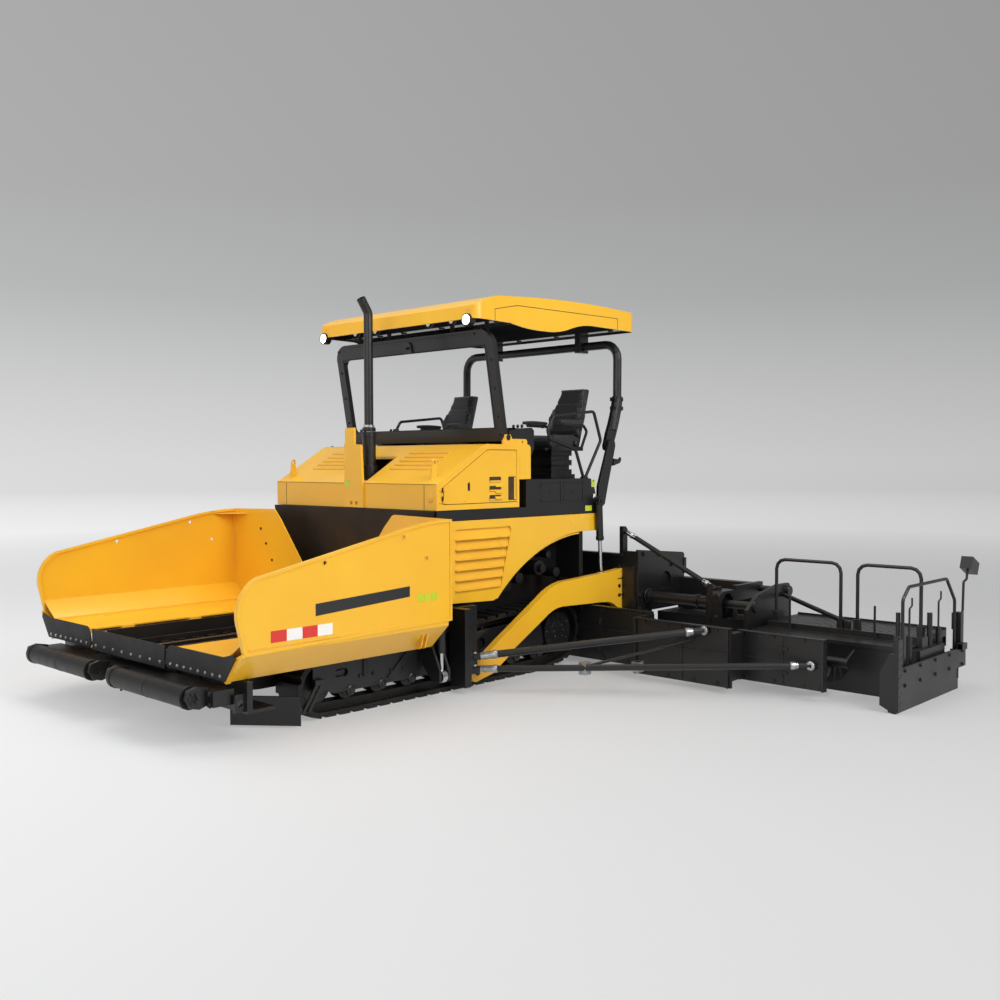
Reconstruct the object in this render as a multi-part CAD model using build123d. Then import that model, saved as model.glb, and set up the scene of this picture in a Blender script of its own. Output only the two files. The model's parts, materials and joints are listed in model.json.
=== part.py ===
from build123d import *
import os
from math import acos, atan2, cos, degrees, hypot, pi, sin, tan

# Tracked asphalt paver, millimetres.  +Z is up, the hopper points to -Y and the
# machine's left side is +X.  The ground is Z = 0, the middle of the machine X = 0.
os.makedirs("parts", exist_ok=True)

# ---------------------------------------------------------------- driving sizes
BODY_HALF = 1270            # half the width over tracks and side panels
TRACK_OUT, TRACK_IN = 1270, 950
CHASSIS_HALF = 905
REAR_Y = 3405               # edge of the rear walkway step
DECK_Z = 1705               # top of the platform deck
DECK_T = 100
HOOD_FRONT_Y = -700

# hopper wing
WING_X = 1722               # outer face of the wing's side wall
WING_T = 12                 # wing plate thickness
WING_REAR_Y = -950
WING_HINGE = (690, 610)     # X, Z of the wing's hinge line
WING_FLOOR_Z = 680

# wing cylinder: pin on the frame and barrel pin on the wing, X, Z
WING_CYL_Y = -845
WING_EYE = (1480, 215)
WING_BARREL = (1480, 1150)
TIE_DOWN = (-2995, 335)     # Y, Z of the tie-down eyes
WING_DRIFT, LIFT_DRIFT = 18, 22     # room that the open eyes leave round their pins
WING_EARS = (-2860, -1950, -1040)   # Y of the frame's ears that the wings hinge on

# tow arms and screed
TOW_PIVOT = (-340, 170)     # Y, Z of the tow points
ARM_OUT, ARM_IN = 1440, 1360
SCREED_HALF = 1500
SCREED_FRONT, SCREED_BACK = 1960, 2420
EXT_FRONT, EXT_BACK = 2445, 2900
EXT_IN, EXT_OUT = 1560, 3050
GATE_X = 4700
GUIDE_Y, GUIDE_Z, GUIDE_R = 2140, 685, 44

# lift cylinder: barrel pin on the frame, rod pin on the tow arm, Y, Z
LIFT_X = 1315
LIFT_TOP = (1680, 1740)
LIFT_LOW = (1720, 900)
LIFT_PIN, WING_PIN, TOW_PIN, HINGE_PIN = 20, 20, 30, 15
FIT = 0.05                  # radial running clearance of pins and shafts

# auger
AUGER_Y, AUGER_Z, AUGER_R = 1650, 330, 200

# canopy pivots, Y, Z
FRAME_PIVOT = (290, 2410)
FRAME_TOP = (215, 3440)
FRAME_LEAN = (112, 3440)    # the frame's mid plane leans to here
HOOP_PIVOT = (1975, 2350)
HOOP_TOP = (2165, 3490)


# ---------------------------------------------------------------- helpers
def block(x0, x1, y0, y1, z0, z1):
    """Box between two corners."""
    size = Box(abs(x1 - x0), abs(y1 - y0), abs(z1 - z0))
    return Pos((x0 + x1) / 2, (y0 + y1) / 2, (z0 + z1) / 2) * size


def plate_x(points, x0, x1):
    """Outline of Y, Z points, extruded from x0 to x1."""
    face = make_face(Polyline([(x0, y, z) for y, z in points], close=True))
    return extrude(face, amount=x1 - x0, dir=(1, 0, 0))


def plate_y(points, y0, y1):
    """Outline of X, Z points, extruded from y0 to y1."""
    face = make_face(Polyline([(x, y0, z) for x, z in points], close=True))
    return extrude(face, amount=y1 - y0, dir=(0, 1, 0))


def plate_z(points, z0, z1):
    """Outline of X, Y points, extruded from z0 to z1."""
    face = make_face(Polyline([(x, y, z0) for x, y in points], close=True))
    return extrude(face, amount=z1 - z0, dir=(0, 0, 1))


def bar(a, b, radius, sides=0):
    """Round bar between two points; with sides, a flat-sided one."""
    start, end = Vector(*a), Vector(*b)
    if sides:
        return tube([start, end], radius, sides=sides)
    way = end - start
    return Plane(start, z_dir=way) * Cylinder(radius, way.length, align=(Align.CENTER, Align.CENTER, Align.MIN))


def skin(rings, split=False):
    """Solid from rings of as many corners each; split gives triangles where the sides are twisted."""
    faces = []
    for ring, following in zip(rings, rings[1:]):
        for i in range(len(ring)):
            j = (i + 1) % len(ring)
            if split:
                corners = ([ring[i], ring[j], following[i]], [ring[j], following[j], following[i]])
            else:
                corners = ([ring[i], ring[j], following[j], following[i]],)
            faces += [Face(Wire.make_polygon(corner, close=True)) for corner in corners]
    faces += [Face(Wire.make_polygon(ring, close=True)) for ring in (rings[0], rings[-1])]
    return Solid(Shell(faces))


def rounded(points, bend, steps=3):
    """Path whose inner corners are arcs of that radius, in short runs."""
    path = [points[0]]
    for before, corner, after in zip(points, points[1:], points[2:]):
        come, go = (corner - before).normalized(), (after - corner).normalized()
        turn = acos(max(-1.0, min(1.0, come.dot(go))))
        start = corner - come * (bend * tan(turn / 2))
        across = (go - come * come.dot(go)).normalized()
        for i in range(steps + 1):
            angle = turn * i / steps
            path.append(start + across * (bend * (1 - cos(angle))) + come * (bend * sin(angle)))
    return path + [points[-1]]


def tube(points, radius, bend=0, sides=12, steps=3, bore=0, depth=0):
    """Flat-sided tube through points, its corners bent; bore and depth open its far end."""
    path = [Vector(*point) for point in points]
    if bend:
        path = rounded(path, bend, steps)
    way = (path[1] - path[0]).normalized()
    across = way.cross(Vector(0, 0, 1) if abs(way.Z) < 0.9 else Vector(1, 0, 0)).normalized()
    up = way.cross(across)
    angles = [2 * pi * (k + 0.5) / sides for k in range(sides)]
    rings = [[path[0] + across * (radius * cos(a)) + up * (radius * sin(a)) for a in angles]]
    for i in range(1, len(path)):
        way = (path[i] - path[i - 1]).normalized()
        mitre = way + (path[i + 1] - path[i]).normalized() if i + 1 < len(path) else way
        rings.append([p + way * ((path[i] - p).dot(mitre) / way.dot(mitre)) for p in rings[-1]])
    if bore:
        rings.append([path[-1] + (p - path[-1]) * (bore / radius) for p in rings[-1]])
        rings.append([p - way * depth for p in rings[-1]])
    return skin(rings)


def outline(start, moves, spot):
    """Closed face; a move is (u, v) for a line or (mid u, mid v, u, v) for an arc; spot places u, v."""
    edges, here = [], start
    for move in moves:
        there = move[-2:]
        if len(move) == 4:
            edges.append(ThreePointArc(spot(*here), spot(*move[:2]), spot(*there)))
        else:
            edges.append(Line(spot(*here), spot(*there)))
        here = there
    if here != start:
        edges.append(Line(spot(*here), spot(*start)))
    return make_face(edges)


def shape_x(start, moves, x0, x1):
    """Outline of Y, Z lines and arcs, extruded from x0 to x1."""
    return extrude(outline(start, moves, lambda y, z: (x0, y, z)), amount=x1 - x0, dir=(1, 0, 0))


def shape_y(start, moves, y0, y1):
    """Outline of X, Z lines and arcs, extruded from y0 to y1."""
    return extrude(outline(start, moves, lambda x, z: (x, y0, z)), amount=y1 - y0, dir=(0, 1, 0))


def rod_x(x0, x1, y, z, radius, sides=0):
    return bar((min(x0, x1), y, z), (max(x0, x1), y, z), radius, sides)


def rod_y(y0, y1, x, z, radius, sides=0):
    return bar((x, y0, z), (x, y1, z), radius, sides)


def rod_z(z0, z1, x, y, radius, sides=0):
    return bar((x, y, z0), (x, y, z1), radius, sides)


def joined(shapes):
    """One solid from pieces that touch."""
    first, *rest = shapes
    return first.fuse(*rest).clean() if rest else first


def mirrored(shape):
    return mirror(shape, about=Plane.YZ)


def both(shape):
    return [shape, mirrored(shape)]


NODES = {}


def node(name, shape):
    solids = shape if isinstance(shape, list) else [shape]
    NODES[name] = Compound(label=name, children=[s for part in solids for s in part.solids()])


def pair(name, shape):
    node(name + "_left", shape)
    node(name + "_right", mirrored(shape))


# ---------------------------------------------------------------- tracks
# circles that the outside of the track runs round: name, Y, Z, radius
TRACK_CIRCLES = [("front roller", -1705, 192, 192), ("rear roller", 780, 192, 192),
                 ("sprocket", 1058, 380, 330), ("idler", -2020, 262, 255)]
SHOE_PITCH = 152
PAD_T, SHOE_T, LINK_T = 26, 20, 62
TRACK_MID = (TRACK_OUT + TRACK_IN) / 2


def track_path(inset):
    """Arcs and lines round the track, inset from its outside, as (kind, data) pairs."""
    count = len(TRACK_CIRCLES)
    normals = []
    for i in range(count):
        _, y0, z0, r0 = TRACK_CIRCLES[i]
        _, y1, z1, r1 = TRACK_CIRCLES[(i + 1) % count]
        run = hypot(y1 - y0, z1 - z0)
        normals.append(atan2(z1 - z0, y1 - y0) - acos((r0 - r1) / run))
    pieces = []
    for i in range(count):
        _, y0, z0, r0 = TRACK_CIRCLES[i]
        _, y1, z1, r1 = TRACK_CIRCLES[(i + 1) % count]
        before, after = normals[i - 1], normals[i]
        while after < before:
            after += 2 * pi
        pieces.append(("arc", (y0, z0, r0 - inset, before, after)))
        line = [(y + (r - inset) * cos(after), z + (r - inset) * sin(after))
                for y, z, r in ((y0, z0, r0), (y1, z1, r1))]
        pieces.append(("line", line))
    return pieces


def track_ring(inset, x0, x1):
    """Solid filling the track's loop, inset from its outside."""
    edges = []
    for kind, data in track_path(inset):
        if kind == "line":
            (ya, za), (yb, zb) = data
            edges.append(Line((x0, ya, za), (x0, yb, zb)))
        else:
            y, z, r, a0, a1 = data
            spots = [(x0, y + r * cos(a), z + r * sin(a)) for a in (a0, (a0 + a1) / 2, a1)]
            edges.append(ThreePointArc(*spots))
    return extrude(make_face(edges), amount=x1 - x0, dir=(1, 0, 0))


def track_length(inset):
    total = 0
    for kind, data in track_path(inset):
        if kind == "line":
            total += hypot(data[1][0] - data[0][0], data[1][1] - data[0][1])
        else:
            total += data[2] * (data[4] - data[3])
    return total


def track_spot(inset, way):
    """Y, Z and outward angle at a distance along the loop."""
    for kind, data in track_path(inset):
        if kind == "line":
            (ya, za), (yb, zb) = data
            run = hypot(yb - ya, zb - za)
            if way <= run:
                t = way / run
                return ya + t * (yb - ya), za + t * (zb - za), atan2(zb - za, yb - ya) - pi / 2
            way -= run
        else:
            y, z, r, a0, a1 = data
            run = r * (a1 - a0)
            if way <= run:
                angle = a0 + way / r
                return y + r * cos(angle), z + r * sin(angle), angle
            way -= run
    return track_spot(inset, 0)


def make_track():
    """Shoes with raised pads in one outline, and the link chain inside them."""
    count = round(track_length(PAD_T) / SHOE_PITCH)
    step = track_length(PAD_T) / count
    outline = []
    for i in range(count):
        y, z, angle = track_spot(PAD_T, (i + 0.5) * step)
        half = step / 2 - 16
        for along, out in ((-half, 0), (-half + 6, PAD_T), (half - 6, PAD_T), (half, 0)):
            outline.append((y - along * sin(angle) + out * cos(angle), z + along * cos(angle) + out * sin(angle)))
    shoes = plate_x(outline, TRACK_IN, TRACK_OUT) - track_ring(PAD_T + SHOE_T, TRACK_IN - 5, TRACK_OUT + 5)
    links = track_ring(PAD_T + SHOE_T - 4, TRACK_MID - 70, TRACK_MID + 70)
    links -= track_ring(PAD_T + SHOE_T + LINK_T, TRACK_MID - 80, TRACK_MID + 80)
    return shoes + links


pair("track", make_track())

# wheels that carry the track: name, Y, Z, radius, half width
LINK_INSET = PAD_T + SHOE_T + LINK_T
_, IDLER_Y, IDLER_Z, IDLER_R = TRACK_CIRCLES[3]
_, SPROCKET_Y, SPROCKET_Z, SPROCKET_R = TRACK_CIRCLES[2]
ROLLER_R, ROLLER_PITCH, ROLLER_COUNT = 84, 355, 8
FRAME_FACE = TRACK_MID + 135       # outer face of the track frame's cheek plate


def make_track_frame():
    low, high, front_high = 215, 480, 405
    side = plate_x([(-1880, 250), (-1700, low), (780, low), (840, 300), (760, high), (-1500, front_high),
                    (-1880, 370)], TRACK_MID - 110, TRACK_MID + 110)
    side -= plate_x([(-1820, 262), (-1690, low - 5), (770, low - 5), (815, 300), (745, high - 25),
                     (-1495, front_high - 25), (-1830, 350)], TRACK_MID - 85, TRACK_MID + 85)
    pieces = [side]
    # outer cheek plate with its holes: Y, Z, radius
    cheek = plate_x([(-2105, 300), (-2105, 448), (-1040, 470), (700, 560), (790, 520), (840, 300), (780, low - 25),
                     (-1890, low - 25)], FRAME_FACE - 13, FRAME_FACE)
    for y, z, radius in ((-1840, 357, 36), (-1770, 357, 36), (-824, 362, 62), (-100, 390, 62), (500, 400, 50)):
        cheek -= rod_x(FRAME_FACE - 20, FRAME_FACE + 5, y, z, radius, 12)
    cheek -= block(FRAME_FACE - 20, FRAME_FACE + 5, -1840, -1770, 321, 393)
    pieces.append(cheek)
    for y in (-1500, -400, 600):
        pieces.append(block(TRACK_MID + 100, FRAME_FACE - 5, y - 60, y + 60, 270, 330))
    # rollers on their axles between hanging brackets
    for i in range(ROLLER_COUNT):
        y = -1705 + i * ROLLER_PITCH
        z = LINK_INSET + ROLLER_R
        pieces.append(rod_x(TRACK_MID - 68, TRACK_MID + 68, y, z, ROLLER_R - 14, 16))
        for x in (TRACK_MID - 68, TRACK_MID + 46):
            pieces.append(rod_x(x, x + 22, y, z, ROLLER_R, 16))
        pieces.append(rod_x(TRACK_MID - 110, FRAME_FACE, y, z, 26, 8))
        ear = shape_x((y - 95, low), [(y - 46, z), (y, z - 46, y + 46, z), (y + 95, low)],
                      FRAME_FACE - 13, FRAME_FACE + 6)
        pieces += [ear, Pos(-235, 0, 0) * ear]
    idler = rod_x(TRACK_MID - 62, TRACK_MID + 62, IDLER_Y, IDLER_Z, IDLER_R - LINK_INSET, 24)
    sprocket = rod_x(TRACK_MID - 30, TRACK_MID + 30, SPROCKET_Y, SPROCKET_Z, SPROCKET_R - LINK_INSET, 24)
    hub = rod_x(CHASSIS_HALF, FRAME_FACE - 20, SPROCKET_Y, SPROCKET_Z, 150, 20)
    cover = rod_x(FRAME_FACE - 25, FRAME_FACE + 5, SPROCKET_Y, SPROCKET_Z, 205, 28)
    cap = rod_x(FRAME_FACE, FRAME_FACE + 17, SPROCKET_Y, SPROCKET_Z, 110, 20)
    axle = rod_x(TRACK_MID - 110, FRAME_FACE, IDLER_Y, IDLER_Z, 45, 12)
    fork = plate_x([(-1780, 330), (-2060, 305), (-2090, 262), (-2060, 220), (-1780, 240)],
                   TRACK_MID + 90, FRAME_FACE)
    motor_plate = plate_x([(760, 250), (1058, 230), (1200, 380), (1058, 530), (700, 460)],
                          TRACK_MID - 110, TRACK_MID - 80)
    pieces += [idler, sprocket, hub, cover, cap, axle, fork, Pos(-200, 0, 0) * fork, motor_plate]
    # two slanting guards at the front, the slanting tie and the tensioner on the cheek plate
    guard_x = TRACK_OUT + 5
    pieces.append(block(FRAME_FACE - 5, guard_x + 14, -2110, -2030, 296, 340))
    for y in (-2085, -2030):
        pieces.append(plate_x([(y, 340), (y + 32, 340), (y - 128, 92), (y - 162, 92)], guard_x, guard_x + 14))
    pieces.append(plate_x([(-1040, 470), (-965, 470), (-1222, 236), (-1300, 236)], FRAME_FACE - 5, FRAME_FACE + 17))
    pieces.append(rod_z(295, 430, FRAME_FACE + 2, -1550, 22, 12))
    pieces.append(rod_z(425, 500, FRAME_FACE + 2, -1550, 12, 8))
    pieces.append(block(FRAME_FACE - 5, FRAME_FACE + 14, -1120, -1080, 300, 420))
    # carrier rollers under the upper run
    for y in (-1000, 0):
        top_z = 0.0627 * (y + 2020) + 517 - LINK_INSET - 24
        pieces.append(rod_x(TRACK_MID - 68, TRACK_MID + 68, y, top_z, 23, 12))
        pieces.append(rod_x(TRACK_MID - 105, TRACK_MID + 118, y, top_z, 12, 8))
        for x in (TRACK_MID - 110, TRACK_MID + 100):
            pieces.append(block(x, x + 18, y - 28, y + 28, 390, top_z + 16))
    for y in (-1150, 300):
        pieces.append(block(CHASSIS_HALF, TRACK_MID - 100, y - 120, y + 120, 300, 430))
    return joined(pieces)


node("track_frames", both(make_track_frame()))


# ---------------------------------------------------------------- chassis


def make_chassis():
    front, rear = -2960, 1600
    side = plate_x([(front, 300), (-2400, 260), (1100, 260), (1400, 420), (1400, 640), (rear, 700), (rear, 1600),
                    (-690, 1600), (-690, 720), (-940, 720), (-940, 560), (front, 560)], CHASSIS_HALF - 45, CHASSIS_HALF)
    pieces = both(side)
    wide = CHASSIS_HALF - 20
    pieces.append(block(-wide, wide, front, -690, 260, 285))
    pieces.append(block(-wide, wide, -690, 1200, 300, 325))
    pieces.append(block(-wide, wide, -690, rear - 20, 900, 930))
    pieces.append(plate_y([(-wide, 900), (wide, 900), (wide, 1604), (-wide, 1604)], rear - 40, rear))
    for x in (-560, 520):
        pieces.append(block(x, x + 40, -690, 1395, 300, 920))
    # deflector ploughs before the tracks and tie-down eyes beside the push beam
    pieces += both(plate_z([(930, -2700), (940, -2712), (1400, -2345), (1390, -2333)], 20, 262))
    eye = block(1500, 1530, -3040, -2945, 265, 405) - rod_x(1490, 1540, *TIE_DOWN, 28)
    pieces += both(eye)
    # front cross member, its bulkhead and the step to the push beam
    pieces.append(block(-1560, 1560, -2950, -2900, 250, 495))
    pieces.append(block(-1560, 1560, -2950, -2700, 250, 275))
    pieces.append(block(-300, 300, -3020, -2940, 330, 430))
    # wing hinge brackets
    for y in WING_EARS:
        ear = plate_y([(600, 285), (860, 285), (860, 560), (720, 640), (660, 640), (600, 540)], y - 15, y + 15)
        ear -= rod_y(y - 20, y + 20, *WING_HINGE, WING_PIN + FIT)
        pieces += both(ear)
    # wing cylinder brackets outside the tracks
    x, z = WING_EYE
    arm = plate_y([(895, 705), (1300, 705), (x - 90, 560), (x + 45, z + 60), (x + 45, z - 45), (x - 60, z - 45),
                   (1282, 330), (1282, 615), (895, 615)], WING_CYL_Y - 67, WING_CYL_Y - 42)
    pieces += both(arm)
    pieces += both(Pos(0, 109, 0) * arm)
    pieces += both(rod_y(WING_CYL_Y - 45, WING_CYL_Y + 45, x, z, WING_PIN))
    # tow point guides outside the tracks, on cross arms over and behind the tracks
    guide = block(1290, 1350, -560, -250, 60, 795)
    guide += block(1345, 1500, -560, -480, 60, 795)
    guide += block(895, 1350, -560, -250, 645, 795)
    guide += rod_x(1340, 1450, *TOW_PIVOT, TOW_PIN)
    # levelling ladder cut in the guide's outer face
    for z in (300, 400, 500, 600):
        guide -= block(1495, 1505, -545, -495, z, z + 40)
    pieces += both(guide)
    # rear posts that carry the platform outside the side plates
    pieces += both(block(CHASSIS_HALF - 20, 1235, 1440, 1500, 900, 1600))
    # pumps and valves behind the arch: Y, Z, radius, outer end
    for y, z, radius, end in ((905, 1050, 80, 1130), (905, 1050, 45, 1185), (1150, 990, 52, 1160),
                              (1090, 1180, 38, 1100), (640, 960, 60, 1090)):
        pieces += both(rod_x(CHASSIS_HALF - 5, end, y, z, radius, 12))
    pieces += both(block(CHASSIS_HALF - 5, 1080, 330, 520, 840, 960))
    return joined(pieces)


node("chassis", make_chassis())


# ---------------------------------------------------------------- conveyor
CHAIN_PITCH = 160


def make_conveyor():
    """Floor plate, chain strands with their links in the outline, and slats, for two belts side by side."""
    floor_z, front, rear = 480, -2900, 1420
    pieces = [block(-510, 510, front, rear, floor_z, floor_z + 14)]
    pieces.append(block(-30, 30, front, rear, floor_z, floor_z + 110))
    for x in (-500, 470):
        pieces.append(block(x, x + 30, front, rear, floor_z, floor_z + 90))
    link = CHAIN_PITCH / 2
    for x in (-455, -75, 45, 425):
        points = [(front + 20, floor_z + 5)]
        for i in range(int((rear - front - 40) / CHAIN_PITCH)):
            y = front + 20 + i * CHAIN_PITCH
            points += [(y, floor_z + 52), (y + link, floor_z + 52), (y + link, floor_z + 34),
                       (y + CHAIN_PITCH, floor_z + 34)]
        points.append((points[-1][0], floor_z + 5))
        pieces.append(plate_x(points, x, x + 30))
    for i in range(13):
        y = -2800 + i * 2 * CHAIN_PITCH
        pieces.append(block(-440, -30, y, y + 30, floor_z + 8, floor_z + 45))
        pieces.append(block(30, 440, y, y + 30, floor_z + 8, floor_z + 45))
    return joined(pieces)


node("conveyor", make_conveyor())


# ---------------------------------------------------------------- push beam and rollers
ROLLER_Y, ROLLER_Z, PUSH_R = -3315, 405, 90
PUSH_SPAN = (200, 1360)


def make_push_beam():
    pieces = [block(-1490, 1490, -3200, -3020, 330, 450)]
    for x in (PUSH_SPAN[0] - 55, PUSH_SPAN[1] + 15):
        end = plate_x([(-3190, 345), (-3190, 470), (-3290, 490), (-3365, 470), (-3385, 405), (-3340, 335), (-3270, 318)],
                      x, x + 40)
        end -= rod_x(x - 5, x + 45, ROLLER_Y, ROLLER_Z, 30 + FIT)
        pieces += both(end)
    # pad and pivot that the beam rocks on
    pieces.append(block(-140, 140, -3225, -3190, 350, 430))
    return joined(pieces)


node("push_beam", make_push_beam())
push_roller = joined([rod_x(PUSH_SPAN[0], PUSH_SPAN[1], ROLLER_Y, ROLLER_Z, PUSH_R - 6, 28),
                      rod_x(PUSH_SPAN[0], PUSH_SPAN[0] + 40, ROLLER_Y, ROLLER_Z, PUSH_R, 28),
                      rod_x(PUSH_SPAN[1] - 40, PUSH_SPAN[1], ROLLER_Y, ROLLER_Z, PUSH_R, 28),
                      rod_x(PUSH_SPAN[0] - 50, PUSH_SPAN[1] + 50, ROLLER_Y, ROLLER_Z, 30)])
pair("push_roller", push_roller)


# ---------------------------------------------------------------- hopper
# wing outline seen from the side, from the front foot: start, then moves
WING_START = (-3078, 723)
WING_MOVES = [(-3126, 944), (-3096, 1190, -2960, 1306), (-1450, 1610), (-1200, 1646, -945, 1660), (-945, 762)]
RIM = 26


def make_wing():
    inner = WING_X - WING_T
    wall = shape_x(WING_START, WING_MOVES, inner, WING_X)
    # folded rim round the wall
    face = outline(WING_START, WING_MOVES, lambda y, z: (inner - 18, y, z))
    rim = extrude(face - offset(face, amount=-RIM), amount=WING_T + 26, dir=(1, 0, 0))
    # slope plate under the side wall, its front edge bar, the inner strip and the floor
    slope = plate_y([(WING_X, 723), (WING_X, 768), (WING_X - WING_T, 768), (WING_X - WING_T, 740), (1483, 523),
                     (1499, 507)], -3078, -985)
    slope_end = plate_y([(WING_X, 745), (WING_X + 6, 720), (1505, 495), (1470, 510), (1490, 640), (1560, 680)],
                        -3100, -3060)
    strip = plate_y([(inner + 2, 830), (inner + 2, 846), (1490, 694), (1490, 678)], -3078, WING_REAR_Y)
    floor = block(705, 1500, -3078, WING_REAR_Y, WING_FLOOR_Z - 14, WING_FLOOR_Z)
    rear = shape_y((WING_X, 762), [(WING_X, 1660), (985, 1674), (950, 1668, 920, 1645), (835, 1562), (476, 1143),
                                   (640, 690), (1500, 666)], WING_REAR_Y - 12, WING_REAR_Y)
    gusset = plate_z([(inner + 2, WING_REAR_Y - 10), (inner + 2, -1230), (1450, WING_REAR_Y - 10)], 1606, 1616)
    pieces = [wall, rim, slope, slope_end, strip, floor, rear, gusset]
    # ribs on the back of the rear wall
    pieces.append(block(1010, 1690, WING_REAR_Y - 4, WING_REAR_Y + 26, 1590, 1602))
    for x, low in ((1050, 690), (1300, 690)):
        pieces.append(block(x, x + 12, WING_REAR_Y - 4, WING_REAR_Y + 26, low, 1600))
    # hinge barrels and ribs below the floor
    hx, hz = WING_HINGE
    for ear_y in WING_EARS:
        y = ear_y + 110 if ear_y < -2000 else ear_y - 110
        pieces.append(rod_y(y - 60, y + 60, hx, hz, 28, 16) + block(hx - 15, 760, y - 60, y + 60, hz, WING_FLOOR_Z - 5))
        pieces.append(rod_y(min(y, ear_y - 25), max(y, ear_y + 25), hx, hz, WING_PIN))
    # front apron: a steel-backed flap in front of the floor
    flap = plate_y([(715, WING_FLOOR_Z), (1500, WING_FLOOR_Z), (1655, 690), (1520, 515), (650, 515), (700, 560)],
                   -3110, -3092)
    pieces.append(flap)
    pieces.append(block(720, 1480, -3095, -3070, 640, 679))
    # lugs for the wing cylinder's barrel
    bx, bz = WING_BARREL
    pieces.append(block(bx - 45, bx + 45, WING_REAR_Y - 5, WING_CYL_Y - 41, bz - 45, bz + 45))
    pieces.append(rod_y(WING_REAR_Y, WING_CYL_Y + 44, bx, bz, WING_PIN))
    # lashing clevis under the slope
    for y in (-1235, -1185):
        pieces.append(shape_y((1545, 600), [(1650, 690), (1665, 660), (1632, 560), (1600, 528, 1568, 560)], y, y + 13)
                      - rod_y(y - 5, y + 18, 1600, 575, 15, 12))
    body = joined(pieces)
    for y, z in ((-2331, 1372), (-1508, 1530), (-1247, 1336)):
        body -= rod_x(inner - 5, WING_X + 5, y, z, 17, 12)
    return body


pair("hopper_wing", make_wing())


def make_apron():
    """Fixed centre of the hopper's front edge."""
    pieces = [plate_y([(-625, 500), (625, 500), (640, 655), (-640, 655)], -3108, -3090)]
    pieces.append(block(-560, 560, -3095, -2955, 520, 540))
    pieces.append(block(-560, 560, -2975, -2950, 430, 540))
    return joined(pieces)


node("hopper_apron", make_apron())

rear_wall = plate_y([(-640, 600), (640, 600), (700, 700), (1230, 1560), (1262, 1705), (-1262, 1705),
                     (-1230, 1560), (-700, 700)], -745, -715)
node("hopper_rear_wall", rear_wall)


# ---------------------------------------------------------------- wing cylinders
def make_wing_barrel():
    x, z = WING_BARREL
    ex, ez = WING_EYE
    way = Vector(ex - x, 0, ez - z)
    end = Vector(x, WING_CYL_Y, z) + way.normalized() * 720
    pieces = [bar((x, WING_CYL_Y, z), end, 38), rod_y(WING_CYL_Y - 40, WING_CYL_Y + 40, x, z, 45)]
    barrel = joined(pieces)
    bore_end = Vector(x, WING_CYL_Y, z) + way.normalized() * 740
    bore_start = Vector(x, WING_CYL_Y, z) + way.normalized() * 60
    barrel -= rod_y(WING_CYL_Y - 50, WING_CYL_Y + 50, x, z, WING_PIN + FIT)
    return barrel - bar(bore_start, bore_end, 20 + FIT)


def make_wing_rod():
    x, z = WING_BARREL
    ex, ez = WING_EYE
    way = Vector(ex - x, 0, ez - z).normalized()
    start = Vector(x, WING_CYL_Y, z) + way * 75
    hole = WING_PIN + WING_DRIFT
    rod = joined([bar(start, (ex, WING_CYL_Y, ez), 20), rod_y(WING_CYL_Y - 28, WING_CYL_Y + 28, ex, ez, hole + 20)])
    return rod - rod_y(WING_CYL_Y - 30, WING_CYL_Y + 30, ex, ez, hole)


pair("wing_barrel", make_wing_barrel())
pair("wing_rod", make_wing_rod())


# ---------------------------------------------------------------- platform
def make_canopy_mounts():
    """Leaning brackets behind the platform that the rear hoop turns on."""
    y0, z0 = HOOP_PIVOT
    pieces = [block(-1268, 1268, 1725, 1760, 1610, 1700)]
    for side in (1, -1):
        pieces.append(shape_x((1725, 1610), [(1850, 1700), (1905, 1900), (y0 + 62, z0 - 20), (y0 + 62, z0 + 10),
                                             (y0 + 40, z0 + 50, y0 - 5, z0 + 58), (y0 - 45, z0 + 45), (1740, 1900)],
                              side * 1236, side * 1268))
        pieces.append(rod_x(side * 1150, side * 1250, y0, z0, 25))
        # hook that holds the hoop when it is up
        pieces.append(plate_x([(2010, 2120), (2130, 2150), (2155, 2185), (2146, 2215), (2120, 2190), (2020, 2200)],
                              side * 1240, side * 1264))
    return pieces


def make_platform():
    deck = block(-BODY_HALF, BODY_HALF, HOOD_FRONT_Y, 1725, DECK_Z - DECK_T, DECK_Z)
    deck -= block(-560, 560, -640, 400, DECK_Z - DECK_T - 5, DECK_Z + 5)
    pieces = [deck]
    # side cabinets under the seats, their rear ends slanted
    for side in (1, -1):
        cabinet = plate_x([(545, DECK_Z - 5), (545, 1985), (1590, 1985), (1645, 1930), (1690, 1790),
                           (1690, DECK_Z - 5)], side * 640, side * BODY_HALF)
        for y in (760, 1130):
            cabinet -= block(side * (BODY_HALF - 6), side * (BODY_HALF + 5), y, y + 330, 1745, 1945)
            cabinet += block(side * (BODY_HALF - 8), side * (BODY_HALF - 3), y + 8, y + 322, 1753, 1937)
        pieces.append(cabinet)
        # ear and pin that the lift cylinder hangs from
        pieces.append(block(side * 1235, side * BODY_HALF, LIFT_TOP[0] - 55, 1725, DECK_Z, LIFT_TOP[1] + 50))
        pieces.append(rod_x(side * 1240, side * (LIFT_X + 48), *LIFT_TOP, LIFT_PIN))
        # sliding desk of the console with its raised panel
        pieces.append(plate_x([(636, 2345), (480, 2395), (453, 2420), (453, 2470), (490, 2490), (800, 2520),
                               (836, 2490), (836, 2300), (800, 2240), (660, 2240)], side * 380, side * 1120))
        pieces.append(block(side * 500, side * 940, 660, 800, DECK_Z, 2260))
    pieces.append(block(-400, 400, 660, 760, 2290, 2420))
    pieces.append(block(-640, 640, 640, 690, DECK_Z - 5, 1985))
    return joined(pieces + make_canopy_mounts())


node("platform", make_platform())


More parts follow.
